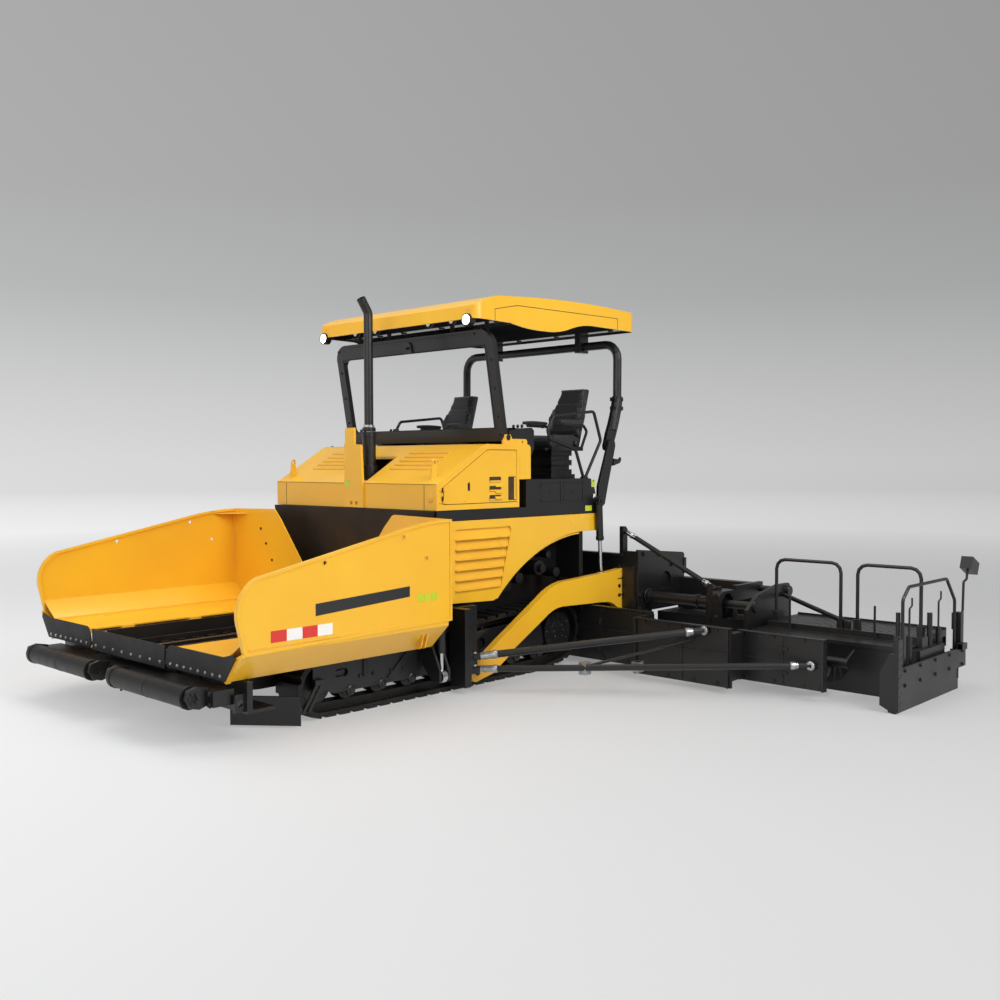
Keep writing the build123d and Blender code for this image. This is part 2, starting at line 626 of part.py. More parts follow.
# ---------------------------------------------------------------- hood
# hood outline seen from the side: Y, Z
HOOD_SIDE = [(-700, 1710), (-700, 1953), (-85, 2323), (-30, 2340), (590, 2340), (616, 2310), (616, 1990),
             (442, 1990), (442, 1710)]
SHELL = 22


def make_hood():
    outer = plate_x(HOOD_SIDE, -BODY_HALF, BODY_HALF)
    inner_side = [(-678, 1700), (-678, 1940), (-78, 2300), (-30, 2318), (594, 2318), (594, 2012), (420, 2012),
                  (420, 1700)]
    hood = outer - plate_x(inner_side, -BODY_HALF + SHELL, BODY_HALF - SHELL)
    # opening of the side doors
    door_hole = plate_x(DOOR_HOLE, -BODY_HALF - 10, BODY_HALF + 10)
    hood -= door_hole
    # slot behind the centre post for the exhaust
    hood -= block(-150, 205, -650, -250, 1960, 2400)
    # louvres across the slope, on both sides of the exhaust
    slope = atan2(2323 - 1953, 615)
    for side in (1, -1):
        for i in range(LOUVRES):
            y = -450 + i * 66
            z = 1953 + (y + 700) * tan(slope)
            hood -= Pos(side * 635, y, z) * Rot(degrees(slope), 0, 0) * Box(570, 26, 90)
            hood += (Pos(side * 635, y + 20, z + 8) * Rot(degrees(slope) - 16, 0, 0) * Box(574, 44, 4))
        # side windows behind the door
        for z in (2060, 2130, 2200):
            hood -= block(side * (BODY_HALF - 40), side * (BODY_HALF + 10), 455, 560, z, z + 34)
    # centre post with two slots at its foot
    post = plate_y([(-77, 1712), (227, 1712), (189, 2338), (85, 2345), (85, 2500), (73, 2512), (-41, 2512),
                    (-53, 2500)], -722, -694)
    for x in (20, 100):
        post -= block(x, x + 40, -730, -690, 1740, 1772)
    hood += post
    for x in (-1120, 1120):
        hood += shape_x((-640, 1960), [(-560, 2010), (-572, 2175), (-580, 2196, -600, 2196), (-614, 2180)],
                        x - 12, x + 12) - rod_x(x - 20, x + 20, -596, 2160, 18, 12)
    # ears outside the feet of the canopy's front frame
    y, z = FRAME_PIVOT
    for side in (1, -1):
        ear = plate_x([(218, 2330), (572, 2330), (572, 2375), (552, 2395), (y + 58, 2395), (y + 32, z + 28),
                       (y - 32, z + 28), (238, 2395), (218, 2375)], side * 1240, side * 1262)
        hood += ear - rod_x(side * 1230, side * 1270, 500, 2365, 12, 12)
    return hood


LOUVRES = 5
DOOR = [(-610, 1768), (400, 1768), (400, 2280), (-20, 2280), (-610, 1925)]
DOOR_HOLE = [(-616, 1762), (406, 1762), (406, 2286), (-22, 2286), (-616, 1929)]
node("hood", make_hood())
door = plate_x(DOOR, BODY_HALF - SHELL, BODY_HALF)
# folded edge on the inside
door += (plate_x(DOOR, BODY_HALF - SHELL - 14, BODY_HALF - SHELL)
         - plate_x([(-590, 1788), (380, 1788), (380, 2260), (-14, 2260), (-590, 1913)], BODY_HALF - 60, BODY_HALF - SHELL))
# hinge knuckles just outside the panel
DOOR_HINGE = (1281, -622)   # X, Y
for z in (1778, 1890):
    door += block(BODY_HALF - 4, DOOR_HINGE[0] + 3, -606, -585, z, z + 32)
    door += block(BODY_HALF + 2, DOOR_HINGE[0] + 3, DOOR_HINGE[1], -590, z, z + 32)
    door += rod_z(z, z + 32, *DOOR_HINGE, 9)
# louvre windows, latch recess and air slot
for z in (1790, 1850, 1910):
    door -= block(BODY_HALF - 40, BODY_HALF + 10, 90, 190, z, z + 36)
    door += plate_y([(BODY_HALF - 4, z + 36), (BODY_HALF + 12, z + 8), (BODY_HALF + 15, z + 10), (BODY_HALF - 1, z + 40)],
                    90, 190)
door -= block(BODY_HALF - 40, BODY_HALF + 10, 315, 372, 1790, 1985)
door -= block(BODY_HALF - 16, BODY_HALF + 10, -290, -258, 1885, 1970)
door += rod_z(1890, 1965, BODY_HALF - 6, -274, 7, 8)
pair("hood_door", door)
node("engine", block(-500, 500, -480, 340, 940, 1890))


# ---------------------------------------------------------------- side panels
def make_side_panel():
    """Panel over the track with a field of slats and an arched opening behind it."""
    panel = shape_x((-660, 830), [(60, 800), (112, 820), (590, 1180, 1463, 1417), (1725, 1415), (1725, 1603), (-660, 1603)],
                    BODY_HALF - 25, BODY_HALF)
    field = shape_x((-452, 950), [(170, 930), (312, 1462), (312, 1512, 262, 1522), (-448, 1522)],
                    BODY_HALF - 40, BODY_HALF + 20)
    panel -= field
    slats = [plate_y([(BODY_HALF - 30, z + 84), (BODY_HALF - 24, z + 84), (BODY_HALF - 3, z), (BODY_HALF - 9, z)],
                     -470, 340) & field for z in range(938, 1520, 97)]
    # backing plate behind the slats, lip round the arch and the brackets
    back = plate_x([(-470, 935), (185, 915), (340, 1535), (-465, 1535)], BODY_HALF - 44, BODY_HALF - 24)
    lip = shape_x((112, 820), [(590, 1180, 1400, 1405), (1402, 1391), (597, 1168, 124, 812)],
                  BODY_HALF - 120, BODY_HALF - 5)
    pieces = [panel, back, lip] + slats
    for y in (-600, 1350):
        pieces.append(block(CHASSIS_HALF, BODY_HALF - 10, y, y + 50, 1500, 1590))
    return joined(pieces)


node("side_panels", both(make_side_panel()))


# ---------------------------------------------------------------- seats and rails
SEAT_X = 870


def make_seat():
    """Base, bellows, shell and armrest frames of the left seat."""
    x = SEAT_X
    pieces = [block(x - 190, x + 190, 1180, 1580, 1985, 2030)]
    for i in range(5):
        half = 170 if i % 2 == 0 else 150
        pieces.append(block(x - half, x + half, 1380 - half, 1380 + half, 2028 + i * 52, 2082 + i * 52))
    pieces.append(block(x - 225, x + 225, 1150, 1680, 2285, 2330))
    pieces.append(plate_x([(1640, 2320), (1700, 2320), (1880, 2960), (1840, 2975)], x - 150, x + 150))
    for side in (-1, 1):
        pieces.append(tube([(x + side * 215, 1660, 2310), (x + side * 262, 1700, 2500), (x + side * 262, 1640, 2560),
                            (x + side * 262, 1300, 2565)], 16, 40, sides=8, steps=2))
    return joined(pieces)


def make_cushions():
    x = SEAT_X
    pieces = [block(x - 235, x + 235, 1120, 1650, 2328, 2440)]
    rings = [[(x - w, y0, z), (x + w, y0, z), (x + w, y1, z1), (x - w, y1, z1)]
             for w, y0, z, y1, z1 in ((235, 1600, 2440, 1660, 2425), (240, 1628, 2620, 1725, 2600),
                                      (215, 1700, 2800, 1785, 2785), (180, 1770, 3000, 1848, 2980))]
    pieces.append(skin([[Vector(*p) for p in ring] for ring in rings], split=True))
    pieces.append(block(x - 200, x + 200, 1560, 1640, 2400, 2470))
    for side in (-1, 1):
        pieces.append(block(x + side * 226, x + side * 298, 1230, 1640, 2575, 2615))
    return joined(pieces)


node("seat_cushions", both(make_cushions()))
node("seats", both(make_seat() - make_cushions()))


def make_platform_rails():
    """Guard rail on the cabinet outside the seat."""
    foot = block(1192, 1238, 1510, 1590, 1985, 2004)
    return foot + tube([(1215, 1535, 1994), (1215, 1400, 2300), (1215, 980, 2400), (1215, 940, 2500), (1215, 1040, 2650),
                        (1215, 1715, 2715), (1215, 1800, 2500), (1215, 1840, 2400), (1215, 1570, 1994)], 17, 45, sides=10)


node("platform_rails", both(make_platform_rails()))


# ---------------------------------------------------------------- exhaust
EXHAUST_X, EXHAUST_Y, EXHAUST_HINGE_Z = -5, -450, 2490
EXHAUST_HINGE_X = -95


def make_exhaust_base():
    """Silencer under the hood and the pipe that the stack tips on."""
    y, z = EXHAUST_Y, EXHAUST_HINGE_Z
    pieces = [rod_z(1990, z - 26, EXHAUST_X, y, 70, 20), rod_z(z - 60, z - 20, EXHAUST_X, y, 78, 20),
              rod_z(1990, 2130, EXHAUST_X, y, 96, 20), block(-330, 330, -560, -330, 1890, 1995)]
    for ear_y in (y - 32, y + 18):
        pieces.append(block(EXHAUST_HINGE_X - 15, EXHAUST_X - 71, ear_y, ear_y + 14, z - 60, z - 24))
        pieces.append(block(EXHAUST_HINGE_X - 15, EXHAUST_HINGE_X + 11, ear_y, ear_y + 14, z - 60, z + 12))
    pieces.append(rod_y(y - 30, y + 30, EXHAUST_HINGE_X, z, 8))
    return joined(pieces)


node("exhaust_base", make_exhaust_base())


def make_stack():
    pipe = tube([(EXHAUST_X, EXHAUST_Y, EXHAUST_HINGE_Z), (EXHAUST_X, EXHAUST_Y, 3690),
                 (EXHAUST_X, EXHAUST_Y - 95, 3830)], 47, 90, sides=20, steps=4, bore=42, depth=60)
    y, z = EXHAUST_Y, EXHAUST_HINGE_Z
    collar = rod_z(z - 8, z + 28, EXHAUST_X, y, 70, 20)
    lug = block(EXHAUST_HINGE_X - 12, EXHAUST_X - 50, y - 14, y + 14, z - 8, z + 14)
    lug -= rod_y(y - 20, y + 20, EXHAUST_HINGE_X, z, 8 + FIT)
    return joined([pipe, collar, lug])


node("exhaust_stack", make_stack())


# ---------------------------------------------------------------- canopy
ROOF_HALF, ROOF_FRONT = 1240, -140


def roof_body(inset, low):
    """Prism of the roof's side view within its rounded plan, that far inside the outer skin."""
    d = inset
    side = shape_x((-150 + d, low), [(-150 + d, 3556), (-122 + d, 3690 - d), (60, 3775 - d, 310, 3812 - d),
                                     (1300, 3865 - d, 2440 - d, 3850 - d), (2455 - d, 3640), (2455 - d, low)],
                   -ROOF_HALF + d, ROOF_HALF - d)
    plan = extrude(Plane(origin=(0, 1152, 3400)) * RectangleRounded(2 * (ROOF_HALF - d), 2620 - 2 * d, 110 - d), 600)
    return side & plan


def make_roof():
    outer = roof_body(0, 3400)
    # the lower edge rises and falls along the side
    hem = shape_x((-300, 3380), [(-300, 3556), (-150, 3556), (350, 3552), (620, 3518, 880, 3514),
                                 (1080, 3525, 1280, 3572), (1480, 3622, 1700, 3640), (2600, 3640), (2600, 3380)],
                  -ROOF_HALF - 10, ROOF_HALF + 10)
    outer -= hem
    roof = outer - roof_body(SKIN, 3390)
    # cross bearers that the frames hang from
    y, z = FRAME_TOP
    hoop_y, hoop_z = HOOP_TOP
    for y0, y1, low in ((y + 20, y + 140, 3575), (hoop_y - 60, hoop_y + 60, 3640)):
        bearer = (block(-ROOF_HALF, ROOF_HALF, y0, y1, low, 3900)
                  - block(-ROOF_HALF - 5, ROOF_HALF + 5, y0 + 8, y1 - 8, low + 8, 3900))
        roof += bearer & outer
    for side in (-1, 1):
        # lamp under the front edge, with its bracket
        roof += rod_y(ROOF_FRONT - 25, ROOF_FRONT + 45, side * 1130, 3545, 58, 20)
        roof += block(side * 1105, side * 1155, ROOF_FRONT + 5, ROOF_FRONT + 40, 3560, 3660)
        for x in (500, 1000):
            ear = plate_x([(y - 22, z - 22), (y + 30, z - 30), (y + 60, z), (y + 60, 3585), (y + 25, 3585),
                           (y + 25, z + 80), (y - 22, z + 22)], side * (x - 16), side * (x + 16))
            roof += ear + rod_x(side * (x - 60), side * (x + 60), y, z, HINGE_PIN)
        saddle = block(side * 640, side * 720, hoop_y - 75, hoop_y + 75, hoop_z - 70, 3650)
        roof += saddle - rod_x(side * 630, side * 730, hoop_y, hoop_z, HOOP_R + FIT)
    return roof


SKIN = 14
HOOP_R = 48
node("canopy_roof", make_roof())


def make_front_frame():
    """Leaning window frame that carries the roof's front edge."""
    y0, z0 = FRAME_PIVOT
    y1, z1 = FRAME_TOP
    frame = shape_y((-1230, z0 - 35), [(1230, z0 - 35), (1230, 3300), (1190, 3440, 1050, 3500), (-1050, 3500),
                                       (-1190, 3440, -1230, 3300)], -30, 30)
    frame -= shape_y((-1090, 2500), [(1090, 2500), (1121, 2531, 1130, 2560), (1130, 3240), (1100, 3310, 1020, 3330),
                                     (-1020, 3330), (-1100, 3310, -1130, 3240), (-1130, 2560), (-1121, 2531, -1090, 2500)],
                     -40, 40)
    # stiffening fold and hook bracket on the top band
    frame += block(-1000, 1000, -44, -28, 3452, 3468)
    frame += shape_y((-60, 3335), [(60, 3335), (60, 3400), (42, 3442, 0, 3460), (-42, 3442, -60, 3400)], -48, -28)
    frame += block(-18, 18, -80, -40, 3380, 3400)
    lean = degrees(atan2(y0 - FRAME_LEAN[0], FRAME_LEAN[1] - z0))
    frame = Pos(0, y0, z0) * Rot(lean, 0, 0) * Pos(0, 0, -z0) * frame
    for side in (-1, 1):
        for x in (500, 1000):
            for ear_x in (x - 45, x + 27):
                frame += block(side * ear_x, side * (ear_x + 18), y1 - 95, y1 + 35, z1 - 35, z1 + 35)
            frame -= rod_x(side * (x - 70), side * (x + 70), y1, z1, HINGE_PIN + FIT)
    return frame


node("canopy_front_frame", make_front_frame())


def make_hoop():
    """Tall bent tube over the platform's rear edge with its clamped leg plates."""
    y0, z0 = HOOP_PIVOT
    y1, z1 = HOOP_TOP
    path = [(1200, y0 + 95, z0 + 170), (1200, y1 - 6, 2880), (1200, y1, z1), (-1200, y1, z1), (-1200, y1 - 6, 2880),
            (-1200, y0 + 95, z0 + 170)]
    pieces = [tube(path, HOOP_R, 170, sides=16, steps=5)]
    for side in (1, -1):
        # round journals under the saddles
        pieces.append(rod_x(side * 630, side * 730, y1, z1, HOOP_R))
        leg = shape_x((y0 - 58, z0 + 5), [(y0 - 48, z0 - 48, y0 + 5, z0 - 58), (y0 + 70, z0 - 30), (2150, 2560, 2222, 2800),
                                          (2232, 2900), (2095, 2900), (2040, 2680, 1962, 2490)],
                      side * 1178, side * 1222)
        pieces.append(leg)
        # clamps round the tube, with their bolts' lands
        for z in (2744, 2845):
            pieces.append(block(side * 1160, side * 1236, 2078, 2226, z, z + 42))
            for y in (2092, 2202):
                pieces.append(rod_z(z - 8, z + 50, side * 1222, y, 9, 6))
    hoop = joined(pieces)
    for side in (1, -1):
        hoop -= rod_x(side * 1140, side * 1240, y0, z0, 25 + FIT)
    return hoop


node("canopy_rear_hoop", make_hoop())




# ---------------------------------------------------------------- auger
AUGER_PITCH, AUGER_STEPS = 360, 12


def make_auger_drive():
    case = plate_x([(AUGER_Y - 120, 260), (AUGER_Y - 60, 215), (AUGER_Y + 60, 215), (AUGER_Y + 105, 260),
                    (AUGER_Y + 105, 900), (AUGER_Y - 120, 900)], -130, 130)
    case -= rod_x(-140, 140, AUGER_Y, AUGER_Z, 45 + FIT)
    beam = block(-900, 900, 1600, 1700, 840, 980)
    motors = rod_x(-300, 300, AUGER_Y, 860, 60, 12)
    return case + beam + motors


node("auger_drive", make_auger_drive())


def make_auger():
    """Round shaft with one turning flight along it."""
    start, end, thick = 20, 4200, 14
    rings = []
    for i in range(int((end - start - 180) / AUGER_PITCH * AUGER_STEPS) + 1):
        angle = 2 * pi * i / AUGER_STEPS
        x = start + 150 + AUGER_PITCH * i / AUGER_STEPS
        rings.append([Vector(x + dx, AUGER_Y + r * cos(angle), AUGER_Z + r * sin(angle))
                      for r, dx in ((30, 0), (30, thick), (AUGER_R, thick), (AUGER_R, 0))])
    return skin(rings, split=True) + rod_x(start, end, AUGER_Y, AUGER_Z, 45)


pair("auger", make_auger())


def make_channel():
    """Channel plates before the auger, their braces and bearing hanger, on the left."""
    pieces = [block(870, 2220, 1400, 1430, 60, 640)]
    pieces.append(block(2200, 3300, 1120, 1150, 55, 615))
    pieces.append(block(2190, 2230, 1120, 1425, 55, 615))
    pieces.append(block(3225, 4110, 1375, 1405, 100, 572))
    pieces.append(block(3225, 3300, 1140, 1400, 120, 560))
    # folded top edges and upright ribs
    for x0, x1, y, z in ((910, 2220, 1400, 640), (2200, 3300, 1120, 615), (3225, 4110, 1375, 572)):
        pieces.append(block(x0, x1, y - 28, y + 5, z - 10, z))
        pieces.append(block(x0, x1, y - 10, y + 5, z - 250, z - 240))
    for x, y, low, high in ((2212, 1120, 55, 615), (3262, 1120, 55, 615), (3245, 1375, 100, 572), (4080, 1375, 100, 572)):
        pieces.append(block(x, x + 22, y - 26, y + 5, low, high))
    # three braces from the frame's front corner
    pieces.append(block(1448, 1500, -480, -400, 180, 390))
    pieces.append(bar((1482, -430, 337), (3050, 1125, 575), 34, 12))
    pieces.append(bar((1482, -430, 222), (4004, 1380, 327), 30, 12))
    pieces.append(bar((2310, 250, 262), (2900, 1125, 470), 14, 8))
    for (x, y, z), radius in (((2310, 200, 253), 42), ((2670, 528, 268), 42)):
        pieces.append(block(x - 28, x + 28, y - 30, y + 30, z - radius, z + radius))
    pieces.append(block(2290, 2330, 190, 262, 250, 285))
    return joined(pieces)


node("channel_plates", both(make_channel()))


# ---------------------------------------------------------------- screed
ARM_START = (-410, 130)
ARM_MOVES = [(-395, 98, -330, 85), (-120, 130), (60, 240), (200, 340), (640, 580), (790, 650, 960, 668), (1560, 650),
             (1690, 640), (1780, 612, 1860, 560), (1945, 548), (1945, 990), (1700, 965), (930, 925), (720, 865, 560, 775),
             (-20, 440), (-330, 250), (-420, 210)]
arm = shape_x(ARM_START, ARM_MOVES, ARM_IN, ARM_OUT)
arm -= rod_x(ARM_IN - 5, ARM_OUT + 5, *TOW_PIVOT, TOW_PIN + FIT)
for z in (690, 872):
    arm -= block(ARM_IN - 5, ARM_OUT + 5, 1855, 1950, z, z + 14)
arm += rod_x(LIFT_X - 40, ARM_IN + 5, *LIFT_LOW, LIFT_PIN)
node("tow_arms", both(arm))

REAR_GUIDE = (2800, 790)    # Y, Z of the second guide tube
REAR_GUIDE_R = 34


def make_screed():
    pieces = [block(-1440, 1440, SCREED_FRONT, SCREED_BACK, 500, 620)]
    pieces.append(block(-1440, 1440, SCREED_FRONT, SCREED_FRONT + 60, 500, 1150))
    pieces.append(block(-1440, 1440, SCREED_FRONT - 30, SCREED_FRONT + 5, 1120, 1150))
    # crown gearbox, its shaft and the slanting stays of the front wall
    pieces.append(block(-120, 120, 2050, 2350, 610, 900))
    pieces.append(rod_y(2000, 2060, 0, 780, 40, 12))
    for side in (1, -1):
        plate = plate_x([(1960, 520), (2860, 520), (2860, 1100), (2835, 1125), (1985, 1200), (1960, 1180)],
                        side * 1600, side * 1640)
        plate -= shape_x((2390, 740), [(2390, 830), (2490, 930, 2590, 830), (2590, 740)], side * 1612, side * 1650)
        plate += block(side * 1600, side * 1652, 2840, 2885, 880, 1060)
        pieces.append(plate)
        pieces.append(block(side * 1430, side * 1605, SCREED_FRONT, SCREED_FRONT + 60, 520, 1180))
        # end plate that the tow arm is bolted to
        pieces.append(block(side * ARM_IN, side * 1605, 1945, SCREED_FRONT + 10, 545, 1030))
        pieces.append(block(side * 1455, side * 1600, 1930, 1950, 560, 1010))
        for z in (600, 760, 920):
            pieces.append(block(side * 700, side * 720, SCREED_FRONT + 55, 2200, z - 100, z))
        # guide tubes with a ring, and the bracket that holds their outer ends
        pieces.append(rod_x(side * 1630, side * 2520, GUIDE_Y, GUIDE_Z, 58, 20))
        pieces.append(rod_x(side * 2255, side * 2285, GUIDE_Y, GUIDE_Z, 64, 20))
        pieces.append(rod_x(side * 1640, side * 1700, GUIDE_Y, GUIDE_Z, 72, 20))
        pieces.append(block(side * 1630, side * 2645, 2748, 2858, 492, 846))
        bracket = plate_x([(1960, 520), (2330, 520), (2330, 790), (2300, 820), (2050, 820), (1960, 770)],
                          side * 2500, side * 2650)
        bracket -= shape_x((2030, 515), [(2030, 700), (2140, 795, 2250, 700), (2250, 515)], side * 2590, side * 2655)
        pieces.append(bracket)
        pieces.append(block(side * 2520, side * 2560, 1950, 1992, 500, 900))
        pieces.append(block(side * 2600, side * 2650, 2320, 2860, 700, 860))
        # tower and stay over the guide tube
        pieces.append(plate_x([(1960, 1150), (2040, 1150), (2040, 1420), (2010, 1450), (1960, 1450)],
                              side * 1387, side * 1437))
        pieces.append(bar((side * 1425, 1990, 1405), (side * 2530, 2105, 830), 27, 12))
        for x in (2505, 2560):
            pieces.append(block(side * x, side * (x + 16), 2080, 2140, 800, 862))
    body = joined(pieces)
    for side in (1, -1):
        body -= rod_x(side * 1500, side * 2700, GUIDE_Y, GUIDE_Z, GUIDE_R + FIT)
        body -= rod_x(side * 1590, side * 2700, *REAR_GUIDE, REAR_GUIDE_R + FIT)
    # walkway behind, carried on brackets over the extensions
    walk = block(-1440, 1440, 2920, REAR_Y, 560, 600)
    for x in (-1300, 0, 1300):
        walk += block(x - 30, x + 30, 2380, 2940, 560, 620)
    walk += block(-1440, 1440, REAR_Y - 14, REAR_Y, 500, 600)
    return body + walk


node("screed_frame", make_screed())
node("screed_box", block(-SCREED_HALF, SCREED_HALF, SCREED_FRONT, SCREED_BACK, 0, 500))


def make_extension():
    """Sliding screed box with its guide tubes, walkway and guard rails."""
    box_end = 4620
    pieces = [block(EXT_IN, EXT_OUT, EXT_FRONT, EXT_BACK, 0, 480)]
    pieces.append(block(EXT_OUT - 20, box_end, 1960, 2600, 0, 480))
    pieces.append(block(EXT_OUT - 20, EXT_OUT + 30, EXT_FRONT, EXT_BACK, 0, 480))
    pieces.append(rod_x(1560, 2960, GUIDE_Y, GUIDE_Z, GUIDE_R))
    pieces.append(rod_x(1700, 2960, *REAR_GUIDE, REAR_GUIDE_R))
    # gusset that carries both inner tubes
    pieces.append(plate_x([(1990, 475), (2870, 475), (2870, 840), (2840, 870), (2600, 870), (2200, 800), (1990, 660)],
                          2930, 2970))
    pieces.append(rod_x(2960, 3010, *REAR_GUIDE, 52, 16))
    pieces.append(rod_x(2960, 2990, GUIDE_Y, GUIDE_Z, 60, 16))
    # walkway behind the box, with a raised edge
    pieces.append(block(EXT_OUT, 4600, 2250, 2900, 475, 540))
    pieces.append(block(EXT_OUT, 4600, 2888, 2900, 380, 560))
    for x in (3060, 3800, 4560):
        pieces.append(block(x, x + 20, 2595, 2890, 300, 480))
    # ledge along the front edge of the box and the flap hinges below it
    pieces.append(block(EXT_OUT + 30, 4600, 1935, 1965, 440, 480))
    for x0, x1 in ((3120, 3810), (3980, 4590)):
        pieces.append(tube([(x0, 2300, 530), (x0, 2300, 1170), (x1, 2300, 1170), (x1, 2300, 530)], 17, 95, sides=10))
        for x in (x0, x1):
            pieces.append(block(x - 28, x + 28, 2272, 2328, 535, 640))
    for x in (3323, 4196):
        pieces.append(rod_z(475, 800, x, 2200, 11, 8))
    # stay from the gusset down to the walkway
    pieces.append(bar((2980, 2700, 760), (3866, 2330, 590), 24, 12))
    pieces.append(block(3840, 3892, 2300, 2360, 535, 610))
    return joined(pieces)


pair("extension", make_extension())


def crank(x, y, low, high, reach):
    """Screw in its tube with an offset crank on top."""
    tube_top = low + (high - low) * 0.45
    return (rod_z(low, tube_top, x, y, 24, 12) + rod_z(low, high - 90, x, y, 9, 8)
            + tube([(x, y, high - 110), (x, y + 8, high - 88), (x, y + reach, high - 70), (x, y + reach, high)],
                   8, 0, sides=8))


def make_gate():
    """End gate with its nose, perforated post, screws, guard rail and remote control."""
    x = GATE_X
    pieces = [block(x, x + 40, 1400, 2830, 0, 370)]
    pieces.append(block(4620, x + 5, 2000, 2580, 20, 460))
    # nose bent across the front edge
    pieces.append(plate_y([(x + 40, 0), (x + 20, 0), (4594, 60), (4594, 345), (4680, 515), (x + 40, 515)], 1400, 1422))
    pieces.append(plate_z([(x + 40, 1422), (x - 40, 1422), (x, 1520), (x + 40, 1520)], 0, 30))
    # perforated post
    post = block(x + 36, x + 62, 1395, 1475, 20, 640)
    for i in range(PERFORATIONS):
        z = 75 + i * 78
        for y in (1415, 1452):
            post -= rod_x(x + 50, x + 70, y, z + (y - 1415) * 0.5, 8, 8)
    pieces.append(post)
    # upper plate
    pieces.append(plate_x([(1470, 200), (2990, 200), (2990, 385), (1470, 385)], x + 38, x + 52))
    pieces.append(block(x + 5, x + 40, 1500, 2960, 340, 372))
    pieces.append(block(x - 30, x + 45, 2810, 2830, 100, 372))
    # screws with their cranks, the box between them and two plain tubes
    pieces.append(crank(4652, 1885, 330, 940, 55))
    pieces.append(crank(4652, 2560, 345, 940, 55))
    pieces.append(rod_z(330, 764, 4652, 2350, 24, 12))
    pieces.append(rod_z(330, 840, 4652, 1640, 20, 12))
    pieces.append(block(4628, 4676, 1600, 1760, 340, 640))
    pieces.append(block(4628, 4676, 2120, 2250, 370, 560))
    pieces.append(block(4628, x + 4, 1600, 2760, 300, 345))
    # guard rail
    pieces.append(tube([(x, 1620, 345), (x, 1620, 960), (x, 1750, 1060), (x, 2620, 1060), (x, 2830, 840),
                        (x, 2830, 340)], 15, 60, sides=10))
    # control box on its cranked arm, and the square tube behind
    pieces.append(block(x - 10, x + 50, 2860, 2930, 370, 720))
    pieces.append(block(x - 22, x + 5, 2815, 2900, 560, 720))
    pieces.append(tube([(x + 20, 2920, 540), (x + 20, 2985, 735), (x + 20, 3000, 1000), (x + 20, 3080, 1020),
                        (x + 20, 3100, 1120)], 12, 14, sides=8, steps=2))
    handset = Pos(x + 30, 3125, 1150) * Rot(-24, 0, 0) * (Box(110, 190, 120) + Pos(0, 0, 66) * Box(60, 70, 24))
    pieces.append(handset)
    pieces.append(block(x + 40, x + 98, 2780, 2900, 375, 435) - block(x + 46, x + 92, 2775, 2870, 381, 429))
    return joined(pieces)


PERFORATIONS = 7
pair("end_gate", make_gate())


# ---------------------------------------------------------------- lift cylinders
def lift_way():
    return Vector(0, LIFT_LOW[0] - LIFT_TOP[0], LIFT_LOW[1] - LIFT_TOP[1]).normalized()


def make_lift_barrel():
    top = Vector(LIFT_X, *LIFT_TOP)
    end = top + lift_way() * 430
    barrel = joined([bar(top, end, 40), rod_x(LIFT_X - 40, LIFT_X + 40, *LIFT_TOP, 48)])
    barrel -= rod_x(LIFT_X - 50, LIFT_X + 50, *LIFT_TOP, LIFT_PIN + FIT)
    return barrel - bar(top + lift_way() * 50, top + lift_way() * 560, 22 + FIT)


def make_lift_rod():
    top = Vector(LIFT_X, *LIFT_TOP)
    hole = LIFT_PIN + LIFT_DRIFT
    rod = joined([bar(top + lift_way() * 390, (LIFT_X, *LIFT_LOW), 22),
                  rod_x(LIFT_X - 25, LIFT_X + 25, *LIFT_LOW, hole + 18)])
    return rod - rod_x(LIFT_X - 30, LIFT_X + 30, *LIFT_LOW, hole)


pair("lift_barrel", make_lift_barrel())
pair("lift_rod", make_lift_rod())

for name, shape in NODES.items():
    export_step(shape, f"parts/{name}.step")
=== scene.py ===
"""Looks of a tracked asphalt paver: paint, rubber, seats, lamps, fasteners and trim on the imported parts."""

import json
from math import atan2, cos, pi, radians, sin, sqrt

import bmesh
import bpy
from mathutils import Matrix, Vector
from mathutils.bvhtree import BVHTree


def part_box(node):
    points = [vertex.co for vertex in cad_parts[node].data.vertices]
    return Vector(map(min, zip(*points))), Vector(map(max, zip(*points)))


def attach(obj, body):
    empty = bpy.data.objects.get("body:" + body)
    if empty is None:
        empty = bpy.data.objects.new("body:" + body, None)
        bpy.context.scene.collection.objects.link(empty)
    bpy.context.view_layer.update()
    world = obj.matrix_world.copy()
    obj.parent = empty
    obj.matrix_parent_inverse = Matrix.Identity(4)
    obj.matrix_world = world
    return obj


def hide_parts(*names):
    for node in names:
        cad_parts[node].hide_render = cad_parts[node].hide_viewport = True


bl_info = {
    "name": "Asphalt Paver Dressing",
    "version": (1, 0, 0),
    "blender": (4, 5, 0),
    "location": "3D View > Sidebar > Paver",
    "description": "Dresses a tracked asphalt paver with paint, rubber, seats, lamps, fasteners and trim",
    "category": "Object",
}

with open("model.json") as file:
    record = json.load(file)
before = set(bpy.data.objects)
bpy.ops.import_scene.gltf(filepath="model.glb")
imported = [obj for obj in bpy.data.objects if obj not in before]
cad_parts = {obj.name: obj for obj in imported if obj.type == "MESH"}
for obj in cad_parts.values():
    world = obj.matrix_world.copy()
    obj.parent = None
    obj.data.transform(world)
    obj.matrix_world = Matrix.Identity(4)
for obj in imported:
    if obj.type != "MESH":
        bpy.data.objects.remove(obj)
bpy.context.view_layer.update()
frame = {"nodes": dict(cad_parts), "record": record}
NODES = frame["nodes"]
MM = 0.001
OUT, AHEAD, UP, DOWN = (1, 0, 0), (0, -1, 0), (0, 0, 1), (0, 0, -1)
DIM_SIDE = (0.727, 0.687, 0.0)          # way in which the studio's light falls off

